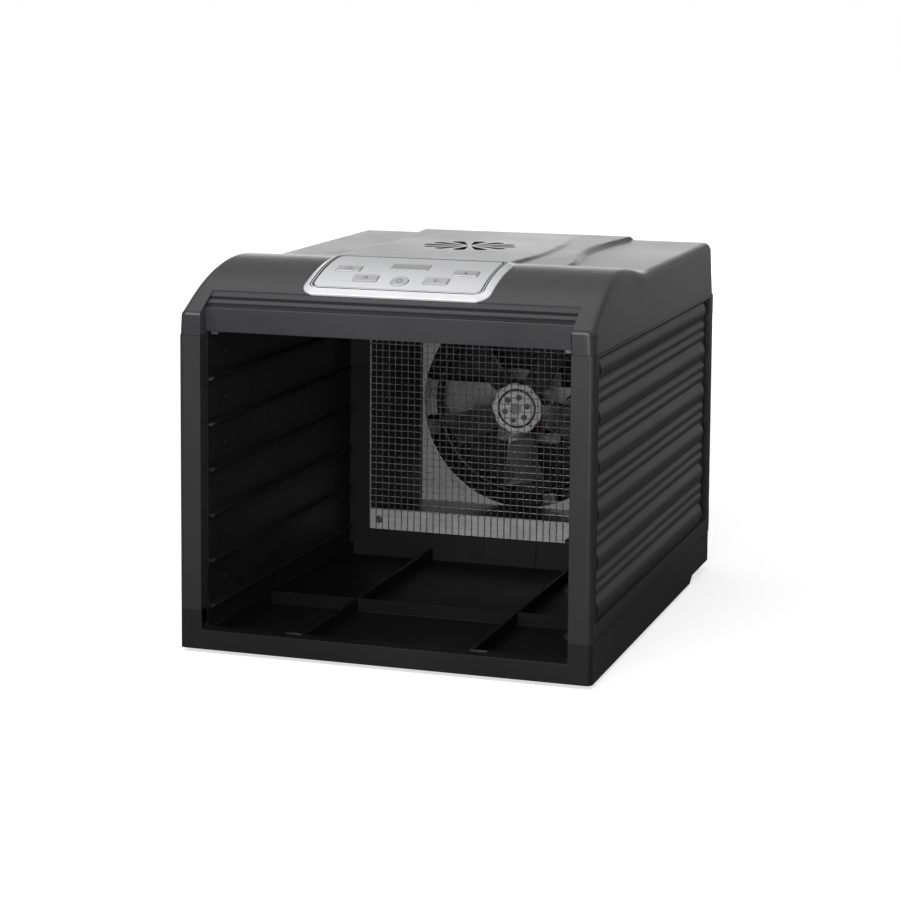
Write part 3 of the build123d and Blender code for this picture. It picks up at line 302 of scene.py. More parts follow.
# Each finish: its name, its two colours and its two roughnesses; some metals then say how metallic they are.
plastic("charcoal_plastic", (0.030, 0.030, 0.032), (0.038, 0.038, 0.040), 0.36, 0.48, bump=0.25,
        sizes=(1300.0, 8.0), Specular_IOR_Level=0.35)
# A darker copy of the charcoal for the side panels and seam rails: painted shade on the sides.
plastic("side_plastic_painted_shade", (0.018, 0.018, 0.019), (0.024, 0.024, 0.0255), 0.34, 0.46, bump=0.2,
        sizes=(1300.0, 8.0), Specular_IOR_Level=0.35)
# A still darker copy of the charcoal for the base tray: painted shade towards the bottom.
plastic("base_plastic_painted_shade", (0.009, 0.009, 0.0096), (0.013, 0.013, 0.0138), 0.34, 0.46, bump=0.2,
        sizes=(1300.0, 8.0), Specular_IOR_Level=0.3)
plastic("cover_plastic", (0.024, 0.024, 0.0255), (0.031, 0.031, 0.033), 0.26, 0.36, bump=0.18,
        sizes=(1300.0, 7.0), Specular_IOR_Level=0.4)
# Basin floor inside the doorway: duller, and painted darker as shade.
plastic("basin_painted_shade", (0.005, 0.005, 0.0054), (0.008, 0.008, 0.0085), 0.40, 0.55, bump=0.2,
        sizes=(1300.0, 8.0), Specular_IOR_Level=0.1)
metal("blade_sheet", grey(0.07), grey(0.22), 0.30, 0.50, 0.7, bump=0.2, depth=0.0001, sizes=(90.0, 500.0))
# Near-black: painted shade in the hub's groove, and the black of the rear grille's screen.
plastic("groove_shade_and_screen_black", grey(0.006), grey(0.010), 0.50, 0.60, sizes=(900.0, 30.0))
plastic("printed_mark", grey(0.10), grey(0.14), 0.40, 0.50, sizes=(900.0, 30.0))
# Inside parts: a dark plastic, pushed darker still as painted shade of the cavity.
plastic("dark_lining", (0.006, 0.006, 0.0065), (0.010, 0.010, 0.0105), 0.42, 0.58, bump=0.25,
        sizes=(1100.0, 11.0), Specular_IOR_Level=0.25)
metal("hub_sheet", grey(0.80), grey(0.98), 0.24, 0.40, 0.0, bump=0.3, depth=0.0001, sizes=(600.0, 900.0))
metal("plain_zinc", grey(0.47), grey(0.53), 0.34, 0.44, 0.45, bump=0.06, sizes=(60.0, 700.0))
# The hood's walls: its zinc made far darker, as painted shade inside the hood.
metal("hood_zinc_painted_shade", grey(0.07), grey(0.11), 0.26, 0.36, 0.8, bump=0.08, sizes=(110.0, 900.0))
# The hood's front flange: a lighter, less metallic copy of its zinc, as painted light; also on the guard's
# levels in front of it.
metal("lit_flange_zinc", grey(0.44), grey(0.56), 0.34, 0.44, 0.35, bump=0.06, sizes=(90.0, 700.0))
# Dark copy of the bezel: painted shade in its groove and on its inner lip.
plastic("bezel_groove_shade", grey(0.07), grey(0.10), 0.40, 0.50, sizes=(1900.0, 30.0))
plastic("bright_bezel", grey(0.66), grey(0.78), 0.26, 0.38, metallic=0.35, bump=0.15, sizes=(1900.0, 20.0))
plastic("face_film", grey(0.55), grey(0.60), 0.38, 0.50, metallic=0.15, bump=0.08, sizes=(2200.0, 16.0))
plastic("button_plastic", grey(0.36), grey(0.43), 0.30, 0.42, metallic=0.2, bump=0.08, sizes=(2200.0, 30.0))
plastic("display_glass", grey(0.30), grey(0.35), 0.08, 0.14, bump=0.02, sizes=(400.0, 30.0), Coat_Weight=0.6)
metal("galvanised_sheet", grey(0.44), grey(0.54), 0.24, 0.34, bump=0.08, sizes=(110.0, 900.0))
# Levels of the guard: a lighter copy of the wire, as painted glints.
metal("level_wire_painted_glint", grey(0.40), grey(0.62), 0.22, 0.34, 0.7, bump=0.05, sizes=(500.0, 1500.0))
# Uprights of the guard: a darker copy of the same wire, as painted shade.
metal("guard_wire", grey(0.13), grey(0.26), 0.24, 0.36, 0.7, bump=0.05, sizes=(500.0, 1500.0))
metal("steel", grey(0.45), grey(0.62), 0.22, 0.34, bump=0.06, sizes=(700.0, 2500.0))
metal("dark_steel", grey(0.12), grey(0.22), 0.30, 0.44, bump=0.06, sizes=(700.0, 2500.0))
metal("laminations", grey(0.14), grey(0.30), 0.34, 0.50, 0.9, bump=0.3, sizes=(300.0, 3000.0))
# The winding's copper is darkened far below its own colour: painted shade deep behind the fan plate.
metal("copper_coil", (0.035, 0.018, 0.012), (0.06, 0.03, 0.02), 0.34, 0.46, 0.9, bump=0.4,
      sizes=(300.0, 2200.0))
metal("bearing_bronze", (0.42, 0.28, 0.10), (0.55, 0.40, 0.18), 0.28, 0.40, sizes=(600.0, 2000.0))
# The heater's sheath: dark oxide, darkened further as painted shade in the throat.
metal("heater_sheath", (0.025, 0.024, 0.023), (0.05, 0.047, 0.044), 0.40, 0.55, 0.9, sizes=(260.0, 1500.0))
plastic("circuit_board", (0.010, 0.060, 0.022), (0.016, 0.095, 0.036), 0.28, 0.40, sizes=(300.0, 60.0))
plastic("board_parts", grey(0.03), grey(0.05), 0.40, 0.55, sizes=(900.0, 40.0))
plastic("foot_rubber", grey(0.014), grey(0.022), 0.62, 0.78, bump=0.3, sizes=(700.0, 20.0))

# Nodes that don't take the finish named after their material slot.
look_of = {
    "top_cover": "cover_plastic",
    # The side panels take a darker copy of the charcoal, as painted shade on the sides.
    "right_side_panel": "side_plastic_painted_shade",
    "left_side_panel": "side_plastic_painted_shade",
    # The base tray takes a still darker copy, as painted shade towards the bottom.
    "base_tray": "base_plastic_painted_shade",
    "fan_blades": "blade_sheet",
    "fan_plate": "plain_zinc",
    "fan_hub": "hub_sheet",
    "sill_catches": "dark_steel",
    "fan_rivets": "dark_steel",
    # The heater clips take the darker blade finish, as painted shade in the throat.
    "heater_clips": "blade_sheet",
}
slot_of = {part["node"]: part["material_slot"] for part in frame["record"]["subparts"]}
bodies = frame["record"]["behaviour"]["bodies"]
body_of = {node: body for body, members in bodies.items() for node in members}


def paint(piece, look):
    piece.data.materials.clear()
    piece.data.materials.append(finishes[look])


def second_finish(piece, look, test):
    """Gives the faces that pass the test another finish."""
    piece.data.materials.append(finishes[look])
    for face in piece.data.polygons:
        if test(face):
            face.material_index = 1


# ---- Working on a mesh ----
def edit(piece):
    only(piece)
    bpy.ops.object.mode_set(mode="EDIT")


def leave():
    bpy.ops.object.mode_set(mode="OBJECT")


def pick(piece, kind, test):
    """In edit mode, selects the faces, edges or verts that pass the test."""
    bpy.ops.mesh.select_mode(type={"faces": "FACE", "edges": "EDGE", "verts": "VERT"}[kind])
    bpy.ops.mesh.select_all(action="DESELECT")
    mesh = bmesh.from_edit_mesh(piece.data)
    for element in getattr(mesh, kind):
        if test(element):
            element.select_set(True)
    mesh.select_flush_mode()
    bmesh.update_edit_mesh(piece.data)


def place_applied():
    """Writes the place, turn and scale of the selected pieces into their meshes."""
    bpy.ops.object.transform_apply(location=True, rotation=True, scale=True)


def extruded(piece, way):
    """Draws the whole flat piece out along a vector into a closed solid."""
    edit(piece)
    bpy.ops.mesh.select_all(action="SELECT")
    bpy.ops.mesh.extrude_region_move(TRANSFORM_OT_translate={"value": way})
    bpy.ops.mesh.select_all(action="SELECT")
    bpy.ops.mesh.normals_make_consistent(inside=False)
    leave()


def bar(name, corners, way):
    """A flat face with the given corners, drawn out along a vector."""
    deselect()
    bpy.ops.mesh.primitive_circle_add(vertices=len(corners), radius=0.1, fill_type="NGON")
    piece = bpy.context.object
    piece.name = name
    for vertex, corner in zip(piece.data.vertices, corners):
        vertex.co = corner
    extruded(piece, way)
    return piece


def rectangle(left, right, low, high):
    return [(left, low), (right, low), (right, high), (left, high)]


def prism(name, outline, low, high):
    """A bar along x whose end face has the given (y, z) outline."""
    return bar(name, [at(low, y, z) for y, z in outline], (mm(high - low), 0, 0))


def column(name, outline, low, high):
    """A bar along z whose end face has the given (x, y) outline."""
    return bar(name, [at(x, y, low) for x, y in outline], (0, 0, mm(high - low)))


def apply(piece, kind, **settings):
    only(piece)
    modifier = piece.modifiers.new("work", kind)
    for name, value in settings.items():
        setattr(modifier, name, value)
    bpy.ops.object.modifier_apply(modifier=modifier.name)


def cut(piece, tool):
    apply(piece, "BOOLEAN", operation="DIFFERENCE", solver="EXACT", object=tool)
    bpy.data.objects.remove(tool)


def round_edges(piece, width, angle):
    apply(piece, "BEVEL", width=mm(width), segments=2, limit_method="ANGLE",
          angle_limit=math.radians(angle), use_clamp_overlap=False, miter_outer="MITER_ARC")


def settle(piece, name, nodes, smooth=32):
    """Shades the piece, gives it its finish and lets it stand for its CAD nodes."""
    only(piece)
    piece.name = name
    bpy.ops.object.shade_smooth_by_angle(angle=math.radians(smooth))
    apply(piece, "WEIGHTED_NORMAL", keep_sharp=True, weight=80)
    paint(piece, look_of.get(nodes[0], slot_of[nodes[0]]))
    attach(piece, body_of[nodes[0]])
    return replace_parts(piece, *nodes)


sharp_angle = 35
shortest_edge = 2.0


def long_sharp_edges(piece):
    """Marks for the bevel the sharp edges that run clear of small features."""
    edit(piece)
    mesh = bmesh.from_edit_mesh(piece.data)
    weight = mesh.edges.layers.float.new("bevel_weight_edge")
    least = mm(shortest_edge)
    bend = math.radians(sharp_angle)
    sharp = [e for e in mesh.edges if len(e.link_faces) == 2 and e.calc_face_angle(0) > bend]
    busy = {v for e in sharp if e.calc_length() < least for v in e.verts}
    for e in sharp:
        if e.calc_length() >= least and not busy.intersection(e.verts):
            e[weight] = 1.0
    bmesh.update_edit_mesh(piece.data)
    leave()


def dressed(node, width):
    """A moulded or pressed piece with its long edges broken: a merged copy of the node's mesh."""
    piece = bpy.data.objects.new(node + "_edged", frame["nodes"][node].data.copy())
    bpy.context.scene.collection.objects.link(piece)
    edit(piece)
    bpy.ops.mesh.select_all(action="SELECT")
    bpy.ops.mesh.remove_doubles(threshold=0.00001)
    leave()
    long_sharp_edges(piece)
    apply(piece, "BEVEL", width=mm(width), segments=2, limit_method="WEIGHT", use_clamp_overlap=False,
          miter_outer="MITER_ARC")
    return settle(piece, node + "_edged", [node])


# ---- Top cover ----
roll_y, roll_z, roll_radius = 110.0, 133.9, 177.0
straight_end = 20.0
roll_lean = math.asin((roll_y - straight_end) / roll_radius)
brow_radius = 5.0
straight_top = roll_z + roll_radius * math.cos(roll_lean)
brow_drop = (brow_radius - straight_end) * math.sin(roll_lean) - brow_radius
brow_z = straight_top + brow_drop / math.cos(roll_lean)
apex_z = roll_z + roll_radius
back_radius, back_run = 200.0, 84.0
deck_start_y = roll_y + back_run
deck_start_z = apex_z - back_run**2 / (4 * back_radius)
deck_rear_z = 303.7
deck_rows = 70
deck_step = 3.2
front_step, front_step_end, front_step_run = 1.6, 285.0, 75.0
pod_front_z, pod_rear_z = 309.4, 306.8
pod_front_y, pod_rear_y = 115.0, 413.0
flat_rear_y, pod_fade = 425.0, 60.0
lowest_lift_z, lift_blend = 290.7, 8.0
rear_edge = 8.0
edge_radius = 6.5
side_lean = 0.05
deck_x, pod_x, vent_y = -6.0, -15.0, 274.0
lip_low_y, lip_mid_y, lip_top_y = 14.7, 21.0, 26.2
lip_ledge_y = lip_low_y + 3.8
header_back, header_top = 12.5, 277.5
bay_half = 150.0
flank_share = 0.62
raised_from = 120.0
vent_petals, vent_swing = 12, 3
vent_low_z, vent_high_z = 290.0, 318.0


def roll_point(y, depth):
    """A point below the roll's skin, square to the place where the skin has the depth y."""
    slope = math.asin((roll_y - max(y, straight_end)) / roll_radius)
    if y < straight_end:
        skin = straight_top - (straight_end - y) * math.tan(roll_lean)
    else:
        skin = roll_z + math.sqrt(roll_radius**2 - (roll_y - y) ** 2)
    return (y + depth * math.sin(slope), skin - depth * math.cos(slope))


def arc(y, z, radius, start, end, steps):
    """Points on a circle in (y, z); 0 degrees points forward and 90 up."""
    points = []
    for index in range(steps + 1):
        angle = math.radians(start + (end - start) * index / steps)
        points.append((y - radius * math.cos(angle), z + radius * math.sin(angle)))
    return points


def deck_z(y):
    return deck_start_z + (deck_rear_z - deck_start_z) * (y - deck_start_y) / (cabinet_back - deck_start_y)


def cover_profile(inset):
    """Side profile of the cover from the front seam over the roll to the rear seam."""
    lean = 90 - math.degrees(roll_lean)
    swing = math.degrees(math.asin(back_run / 2 / back_radius))
    points = [(inset, cover_seam)]
    points += arc(brow_radius, brow_z, brow_radius - inset, 0, lean, 6)
    points += [roll_point(straight_end / 2, inset)]
    points += arc(roll_y, roll_z, roll_radius - inset, lean, 90, 34)
    points += arc(roll_y, apex_z - back_radius, back_radius - inset, 90, 90 + swing, 14)[1:]
    points += arc(deck_start_y, deck_start_z + back_radius, back_radius + inset, swing - 90, -90, 14)[1:][:-1]
    rear = cabinet_back - rear_edge
    for index in range(deck_rows):
        y = deck_start_y + (rear - deck_start_y) * index / (deck_rows - 1)
        points.append((y, deck_z(y) - inset))
    points += arc(rear, deck_rear_z - rear_edge, rear_edge - inset, 90, 180, 6)[1:]
    points.append((cabinet_back - inset, cover_seam))
    return points


def blend_table(table, y):
    """A smooth line through the table's (y, x) pairs."""
    last = len(table) - 1
    y = min(max(y, table[0][0]), table[last][0])
    index = next(i for i in range(last) if y <= table[i + 1][0])

    def slope(i):
        (y0, x0), (y1, x1) = table[max(i - 1, 0)], table[min(i + 1, last)]
        return (x1 - x0) / (y1 - y0)

    (y0, x0), (y1, x1) = table[index], table[index + 1]
    span = y1 - y0
    s = (y - y0) / span
    bend = s * (1 - s) * span * ((1 - s) * slope(index) - s * slope(index + 1))
    return x0 + (x1 - x0) * s * s * (3 - 2 * s) + bend


# Half widths of the two raised areas, as (y, x) pairs: where each flank starts, and where it would run out.
deck_top = [(120, 104), (190, 103), (247, 91), (285, 85), (342, 84.5), (384, 90), (431, 95.5)]
deck_foot = [(120, 112), (190, 109), (246, 100), (294, 98), (356, 100), (431, 99.5)]
pod_top = [(105, 60), (158, 61), (231, 64), (315, 57), (393, 47), (431, 42)]
pod_foot = [(105, 68), (158, 69), (231, 72), (315, 66), (393, 57), (431, 52)]


def flank(x, y, centre, top, foot):
    """1 on a raised area, 0 beside it, with a soft slope between."""
    reach = abs(x - centre)
    inner = blend_table(top, y) - centre
    outer = inner + (blend_table(foot, y) - centre - inner) * flank_share
    share = min(1.0, max(0.0, (outer - reach) / (outer - inner)))
    return share * share * (3 - 2 * share)


def soft_rise(lift, softness=1.2):
    """A positive part with a rounded foot."""
    if abs(lift) >= softness:
        return max(0.0, lift)
    return (lift + softness) ** 2 / (4 * softness)


def cover_lift(x, y, z):
    """How far the raised deck and the pod stand over the plain profile."""
    if y < raised_from:
        return 0.0
    tail = min(1.0, max(0.0, (z - lowest_lift_z) / lift_blend))
    front = min(1.0, max(0.0, (front_step_end - y) / front_step_run))
    pod_z = pod_front_z + (pod_rear_z - pod_front_z) * (y - pod_front_y) / (pod_rear_y - pod_front_y)
    flat = y < flat_rear_y
    raised = soft_rise(deck_z(y) + deck_step + front_step * front - z) if flat else deck_step
    lift = raised * flank(x, y, deck_x, deck_top, deck_foot)
    pod = soft_rise(pod_z - z - lift) if flat else max(0.0, pod_z - deck_rear_z - deck_step)
    fade = min(1.0, max(0.0, (flat_rear_y - y) / pod_fade))
    return (lift + pod * fade * flank(x, y, pod_x, pod_top, pod_foot)) * tail


def column_places():
    """Places of the skin's columns across the cover, closest together along the flanks."""
    stops = [(-166.5, 0), (-153.3, 3), (-124.0, 6), (-66.0, 44)]
    stops += [(38.0, 14), (114.0, 58), (153.3, 8), (166.5, 3)]
    places = []
    for (x0, _), (x1, count) in zip(stops, stops[1:]):
        places += [x0 + (x1 - x0) * index / count for index in range(count)]
    return places + [stops[-1][0]]


def petal_outline(turn):
    """One opening of the round vent: narrow at the hub, wider and rounded at the rim."""
    near, far, widest = 6.5, 42.0, 37.0
    opening = math.tan(math.radians(8.5))
    points = [(near, -0.5), (widest, -widest * opening)]
    for index in range(1, 8):
        angle = math.radians(-90 + 180 * index / 8)
        points.append((widest + (far - widest) * math.cos(angle), widest * opening * math.sin(angle)))
    points += [(widest, widest * opening), (near, 0.5)]
    c, s = math.cos(turn), math.sin(turn)
    return [(pod_x + along * c - across * s, vent_y + along * s + across * c) for along, across in points]


def header_outline():
    """Section of the space in front of the header, with the steps that take the door's lip."""
    ahead, below, above = -5.0, cover_seam - 5, 313.0
    return [
        (ahead, below),
        (header_back, below),
        (header_back, header_top),
        roll_point(lip_low_y - 1.1, 5.6),
        roll_point(lip_low_y, 5.6),
        roll_point(lip_low_y, 2.5),
        roll_point(lip_ledge_y, 2.3),
        roll_point(lip_ledge_y, 4.4),
        roll_point(lip_mid_y, 4.4),
        roll_point(lip_mid_y, 1.5),
        roll_point(lip_top_y, 1.1),
        roll_point(lip_top_y + 0.6, -1.5),
        (ahead, above),
    ]


def bay_outline():
    """Section of the hollow under the roll and the deck, one wall inside the skin."""
    below = cover_seam - 8
    front = [(15.0, below), (15.0, 275.0), roll_point(16.2, 8.1), roll_point(28.0, 6.9)]
    skin = [p for p in cover_profile(wall) if 32.0 < p[0] and p[1] > cover_seam]
    return front + skin + [(cabinet_back - wall, below)]


def cover_skin():
    """The plain cover, open below, with rounded side edges and its columns still evenly spaced."""
    shell = prism("top_cover_shell", cover_profile(0), -half_width, half_width)
    seam = at(0, 0, cover_seam).z

    def side_edge(e):
        a, b = e.verts
        along_side = abs(abs(a.co.x) - mm(half_width)) < 1e-6 and abs(a.co.x - b.co.x) < 1e-6
        return along_side and max(a.co.z, b.co.z) > seam + 1e-5

    edit(shell)
    pick(shell, "faces", lambda f: f.normal.z < -0.9 and f.calc_center_median().z < seam + 1e-4)
    bpy.ops.mesh.delete(type="ONLY_FACE")
    pick(shell, "edges", side_edge)
    bpy.ops.mesh.bevel(offset=mm(edge_radius), segments=6, profile=0.5, affect="EDGES", clamp_overlap=False)
    pick(shell, "edges", lambda e: abs(e.verts[0].co.x - e.verts[1].co.x) > mm(300.0))
    bpy.ops.mesh.subdivide(number_cuts=len(column_places()) - 2)
    leave()
    return shell


def raise_deck(shell):
    """Sends each column to its place, lifts the deck and the pod, and leans the sides in."""
    places = column_places()
    reach = mm(half_width - edge_radius)
    last = len(places) - 1
    for vertex in shell.data.vertices:
        if abs(vertex.co.x) <= reach + 1e-6:
            vertex.co.x = mm(places[round((vertex.co.x / reach + 1) / 2 * last)])
        x, y, z = vertex.co.x * 1000, vertex.co.y * 1000 + cabinet_depth / 2, vertex.co.z * 1000 - foot_gap
        vertex.co.z += mm(cover_lift(x, y, z))
        share = min(1.0, max(0.0, (abs(x) - opening_half) / (half_width - edge_radius - opening_half)))
        vertex.co.x -= math.copysign(mm((z - cover_seam) * side_lean * share), x)


def close_holes(piece):
    edit(piece)
    bpy.ops.mesh.select_mode(type="EDGE")
    bpy.ops.mesh.select_all(action="DESELECT")
    bpy.ops.mesh.select_non_manifold()
    bpy.ops.mesh.edge_face_add()
    bpy.ops.mesh.select_all(action="SELECT")
    bpy.ops.mesh.normals_make_consistent(inside=False)
    leave()


def top_cover():
    shell = cover_skin()
    raise_deck(shell)
    close_holes(shell)
    cut(shell, prism("header_space", header_outline(), -opening_half, opening_half))
    cut(shell, prism("electronics_bay", bay_outline(), -bay_half, bay_half))
    low, high = cover_seam - 5, 258.0
    cut(shell, prism("doorway_top", rectangle(-5.0, 428.0, low, high), -opening_half, opening_half))
    round_edges(shell, 0.5, 38)
    for index in range(vent_petals):
        petal = petal_outline(math.radians(index * 360 // vent_petals + vent_swing))
        cut(shell, column("vent_petal", petal, vent_low_z, vent_high_z))
    settle(shell, "top_cover_shell", ["top_cover"], 30)


# ---- Control panel, shaped flat (x across, v up the roll, up off the skin) and then laid on the roll ----
panel_angle = math.radians(14.37)
panel_width, panel_length, panel_corner = 157.0, 86.0, 12.0
bezel_band, face_corner = 8.6, 5.0
groove_from, groove_to, shade_from = 5.4, 6.58, 7.22
face_low, face_high = 0.5, 3.2
key_width, key_length, key_corner = 20.5, 11.0, 1.8
key_gap, key_low, key_high = 0.3, -1.2, 4.3
round_key_radius = 7.2
display_width, display_length = 32.0, 14.0
display_v = 6.4
key_places = {"timer_button": (-49.5, -3.4), "fan_button": (-29.5, -19.6), "light_button": (29.5, -19.6),
              "temperature_button": (49.5, -3.4), "start_button": (0.0, -22.5)}


def rounded_plan(width, length, corner, x=0.0, v=0.0, cuts=0, steps=6):
    """Outline of a rounded rectangle; cuts adds points along the two sides that run up the roll."""
    points = []
    for turn, (sx, sv) in enumerate(((1, 1), (-1, 1), (-1, -1), (1, -1))):
        for index in range(steps + 1):
            angle = math.radians(90 * turn + 90 * index / steps)
            points.append((x + sx * (width / 2 - corner) + corner * math.cos(angle),
                           v + sv * (length / 2 - corner) + corner * math.sin(angle)))
        if turn in (1, 3):
            reach = length / 2 - corner
            side = points[-1][0]
            for index in range(1, cuts + 1):
                points.append((side, v + sv * (reach - 2 * reach * index / (cuts + 1))))
    return points


def round_plan(radius, x, v, steps=40):
    angles = [2 * math.pi * index / steps for index in range(steps)]
    return [(x + radius * math.cos(angle), v + radius * math.sin(angle)) for angle in angles]


def flat_plate(name, outline, low, high):
    """A flat plate with the outline, between two heights."""
    return bar(name, [Vector((x, v, low)) / 1000 for x, v in outline], (0, 0, mm(high - low)))


def top_face(piece):
    level = max(vertex.co.z for vertex in piece.data.vertices) - 1e-6
    edit(piece)
    pick(piece, "faces", lambda f: min(v.co.z for v in f.verts) > level)


def stepped(piece, steps):
    """Insets the top face again and again; each step says how far in and how far up."""
    top_face(piece)
    for thickness, rise in steps:
        bpy.ops.mesh.inset(thickness=mm(thickness), depth=0.0, use_even_offset=True)
        bpy.ops.transform.translate(value=(0, 0, mm(rise)))
    leave()


def laid_on_roll(piece):
    for vertex in piece.data.vertices:
        x, v, up = vertex.co * 1000
        angle = panel_angle - v / roll_radius
        reach = roll_radius + up
        vertex.co = at(x, roll_y - reach * math.sin(angle), roll_z + reach * math.cos(angle))


def control_bezel():
    """The bright frame: a sloped band, a double groove, and a lip around the faceplate; the groove and the
    inner lip are painted dark as shade.
    """
    outer = rounded_plan(panel_width, panel_length, panel_corner, cuts=16, steps=8)
    ring = flat_plate("control_bezel_ring", outer, -0.6, 0.5)
    profile = [(0.15, 0.5), (0.35, 0.35), (4.1, 1.95), (0.4, 0.1), (0.4, 0.0), (0.05, -0.9), (1.1, 0.0),
               (0.05, 0.9), (0.6, 0.0), (0.05, -1.5)]
    stepped(ring, profile)
    width, length = panel_width - 2 * bezel_band + 0.3, panel_length - 2 * bezel_band + 0.3
    cut(ring, flat_plate("bezel_window", rounded_plan(width, length, 3.6, cuts=16), -5, 5))
    # Faces in the groove and on the inner lip get painted shade.
    dark = set()
    for face in ring.data.polygons:
        reach = edge_reach(face.center * 1000, panel_width, panel_length, panel_corner)
        if groove_from < reach < groove_to and face.center.z > 0 or reach > shade_from:
            dark.add(face.index)
    laid_on_roll(ring)
    settle(ring, "control_bezel_ring", ["control_bezel"], 24)
    second_finish(ring, "bezel_groove_shade", lambda face: face.index in dark)


def edge_reach(spot, width, length, corner):
    """How far a place on the panel lies inside a rounded rectangle's edge."""
    x = abs(spot.x) - width / 2 + corner
    v = abs(spot.y) - length / 2 + corner
    return corner - math.hypot(max(x, 0), max(v, 0)) - min(max(x, v), 0)


def control_faceplate():
    width, length = panel_width - 2 * bezel_band - 0.3, panel_length - 2 * bezel_band - 0.3
    deselect()
    bpy.ops.mesh.primitive_grid_add(x_subdivisions=2, y_subdivisions=30, size=1.0, location=(0, 0, 0))
    plate = bpy.context.object
    for vertex in plate.data.vertices:
        vertex.co = Vector((vertex.co.x * (width + 8), vertex.co.y * (length + 8), face_low)) / 1000
    extruded(plate, (0, 0, mm(face_high - face_low)))
    shape = flat_plate("plate_shape", rounded_plan(width, length, face_corner), -5, 5)
    apply(plate, "BOOLEAN", operation="INTERSECT", solver="EXACT", object=shape)
    bpy.data.objects.remove(shape)
    for node, (x, v) in key_places.items():
        if node == "start_button":
            hole = round_plan(round_key_radius + key_gap, x, v)
        else:
            hole = rounded_plan(key_width + 2 * key_gap, key_length + 2 * key_gap, key_corner + key_gap, x, v)
        cut(plate, flat_plate("key_hole", hole, -5, 5))
    hole = rounded_plan(display_width + 0.3, display_length + 0.3, 1.9, 0.0, display_v)
    cut(plate, flat_plate("display_hole", hole, -5, 5))
    round_edges(plate, 0.18, 50)
    laid_on_roll(plate)
    settle(plate, "control_faceplate_film", ["control_faceplate"], 30)


def keys():
    for node, (x, v) in key_places.items():
        name = node + "_cap"
        if node == "start_button":
            cap = flat_plate(name, round_plan(round_key_radius, x, v), key_low, key_high - 0.5)
            stepped(cap, [(0.25, 0.35), (0.35, 0.15), (0.7, 0.0), (0.35, -0.3), (1.2, -0.1), (2.0, 0.1)])
        else:
            outline = rounded_plan(key_width, key_length, key_corner, x, v)
            cap = flat_plate(name, outline, key_low, key_high - 0.6)
            stepped(cap, [(0.2, 0.4), (0.3, 0.2), (0.5, 0.0), (0.3, -0.15), (0.3, -0.05)])
        laid_on_roll(cap)
        settle(cap, name, [node], 24)


def display():
    outline = rounded_plan(display_width, display_length, 1.8, 0.0, display_v)
    lens = flat_plate("display_lens", outline, 0.2, face_high + 0.1)
    stepped(lens, [(0.15, 0.25), (0.3, 0.1), (0.7, 0.0), (0.3, -0.2)])
    laid_on_roll(lens)
    settle(lens, "display_lens", ["display_window"], 24)


def marked(name, outline, body, cuts=()):
    """A thin printed mark on a key, with its inner parts cut out."""
    mark = flat_plate(name, outline, key_high - 0.35, key_high - 0.12)
    for hole in cuts:
        cut(mark, flat_plate("mark_hole", hole, key_high - 3, key_high + 3))
    laid_on_roll(mark)
    paint(mark, "printed_mark")
    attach(mark, body)


def lobe_outline(x, v, turn):
    """One blade of the fan mark: an ellipse set off from the key's middle."""
    away, long, wide = 1.75, 1.25, 0.75
    c, s = math.cos(turn), math.sin(turn)
    angles = [math.radians(15 * index) for index in range(24)]
    return [(x + away * c + long * math.cos(angle) * c - wide * math.sin(angle) * s,
             v + away * s + long * math.cos(angle) * s + wide * math.sin(angle) * c) for angle in angles]


def key_marks():
    """Clock, fan, lamp and thermometer on the four keys; a ring and a bar on the round one."""
    x, v = key_places["timer_button"]
    marked("timer_mark_rim", round_plan(2.7, x, v, 28), "timer_button_body", [round_plan(2.2, x, v, 28)])
    hand = [(x - 0.22, v - 0.22), (x + 1.3, v - 0.22), (x + 1.3, v + 0.22), (x + 0.22, v + 0.22),
            (x + 0.22, v + 1.7), (x - 0.22, v + 1.7)]
    marked("timer_mark_hands", hand, "timer_button_body")
    x, v = key_places["fan_button"]
    for index in range(3):
        lobe = lobe_outline(x, v, math.radians(90 + 120 * index))
        marked("fan_mark_lobe_%d" % (index + 1), lobe, "fan_button_body")
    x, v = key_places["light_button"]
    bulb, bulb_hole = round_plan(1.9, x, v + 0.7, 28), round_plan(1.45, x, v + 0.7, 28)
    marked("light_mark_bulb", bulb, "light_button_body", [bulb_hole])
    cap = rectangle(x - 0.8, x + 0.8, v - 2.5, v - 1.5)
    marked("light_mark_cap", cap, "light_button_body")
    x, v = key_places["temperature_button"]
    stem = rectangle(x - 0.4, x + 0.4, v - 1.2, v + 2.6)
    marked("temperature_mark_stem", stem, "temperature_button_body")
    marked("temperature_mark_bulb", round_plan(1.15, x, v - 2.0, 24), "temperature_button_body")
    x, v = key_places["start_button"]
    ring = round_plan(2.9, x, v, 36)
    stroke = rectangle(x - 0.28, x + 0.28, v + 0.6, v + 3.4)
    gap = rectangle(x - 0.8, x + 0.8, v + 1.0, v + 4.0)
    marked("start_mark_ring", ring, "start_button_body", [round_plan(2.4, x, v, 36), gap])
    marked("start_mark_bar", stroke, "start_button_body")


# ---- Wire guard ----
guard_back_y = 338.8
guard_half = 131.3
guard_low, guard_high = 31.5, 256.5
guard_columns, guard_rows = 42, 36
wire_radius = 0.40
upright_ahead, level_ahead = 1.3, 0.62
flange_top = 49.0


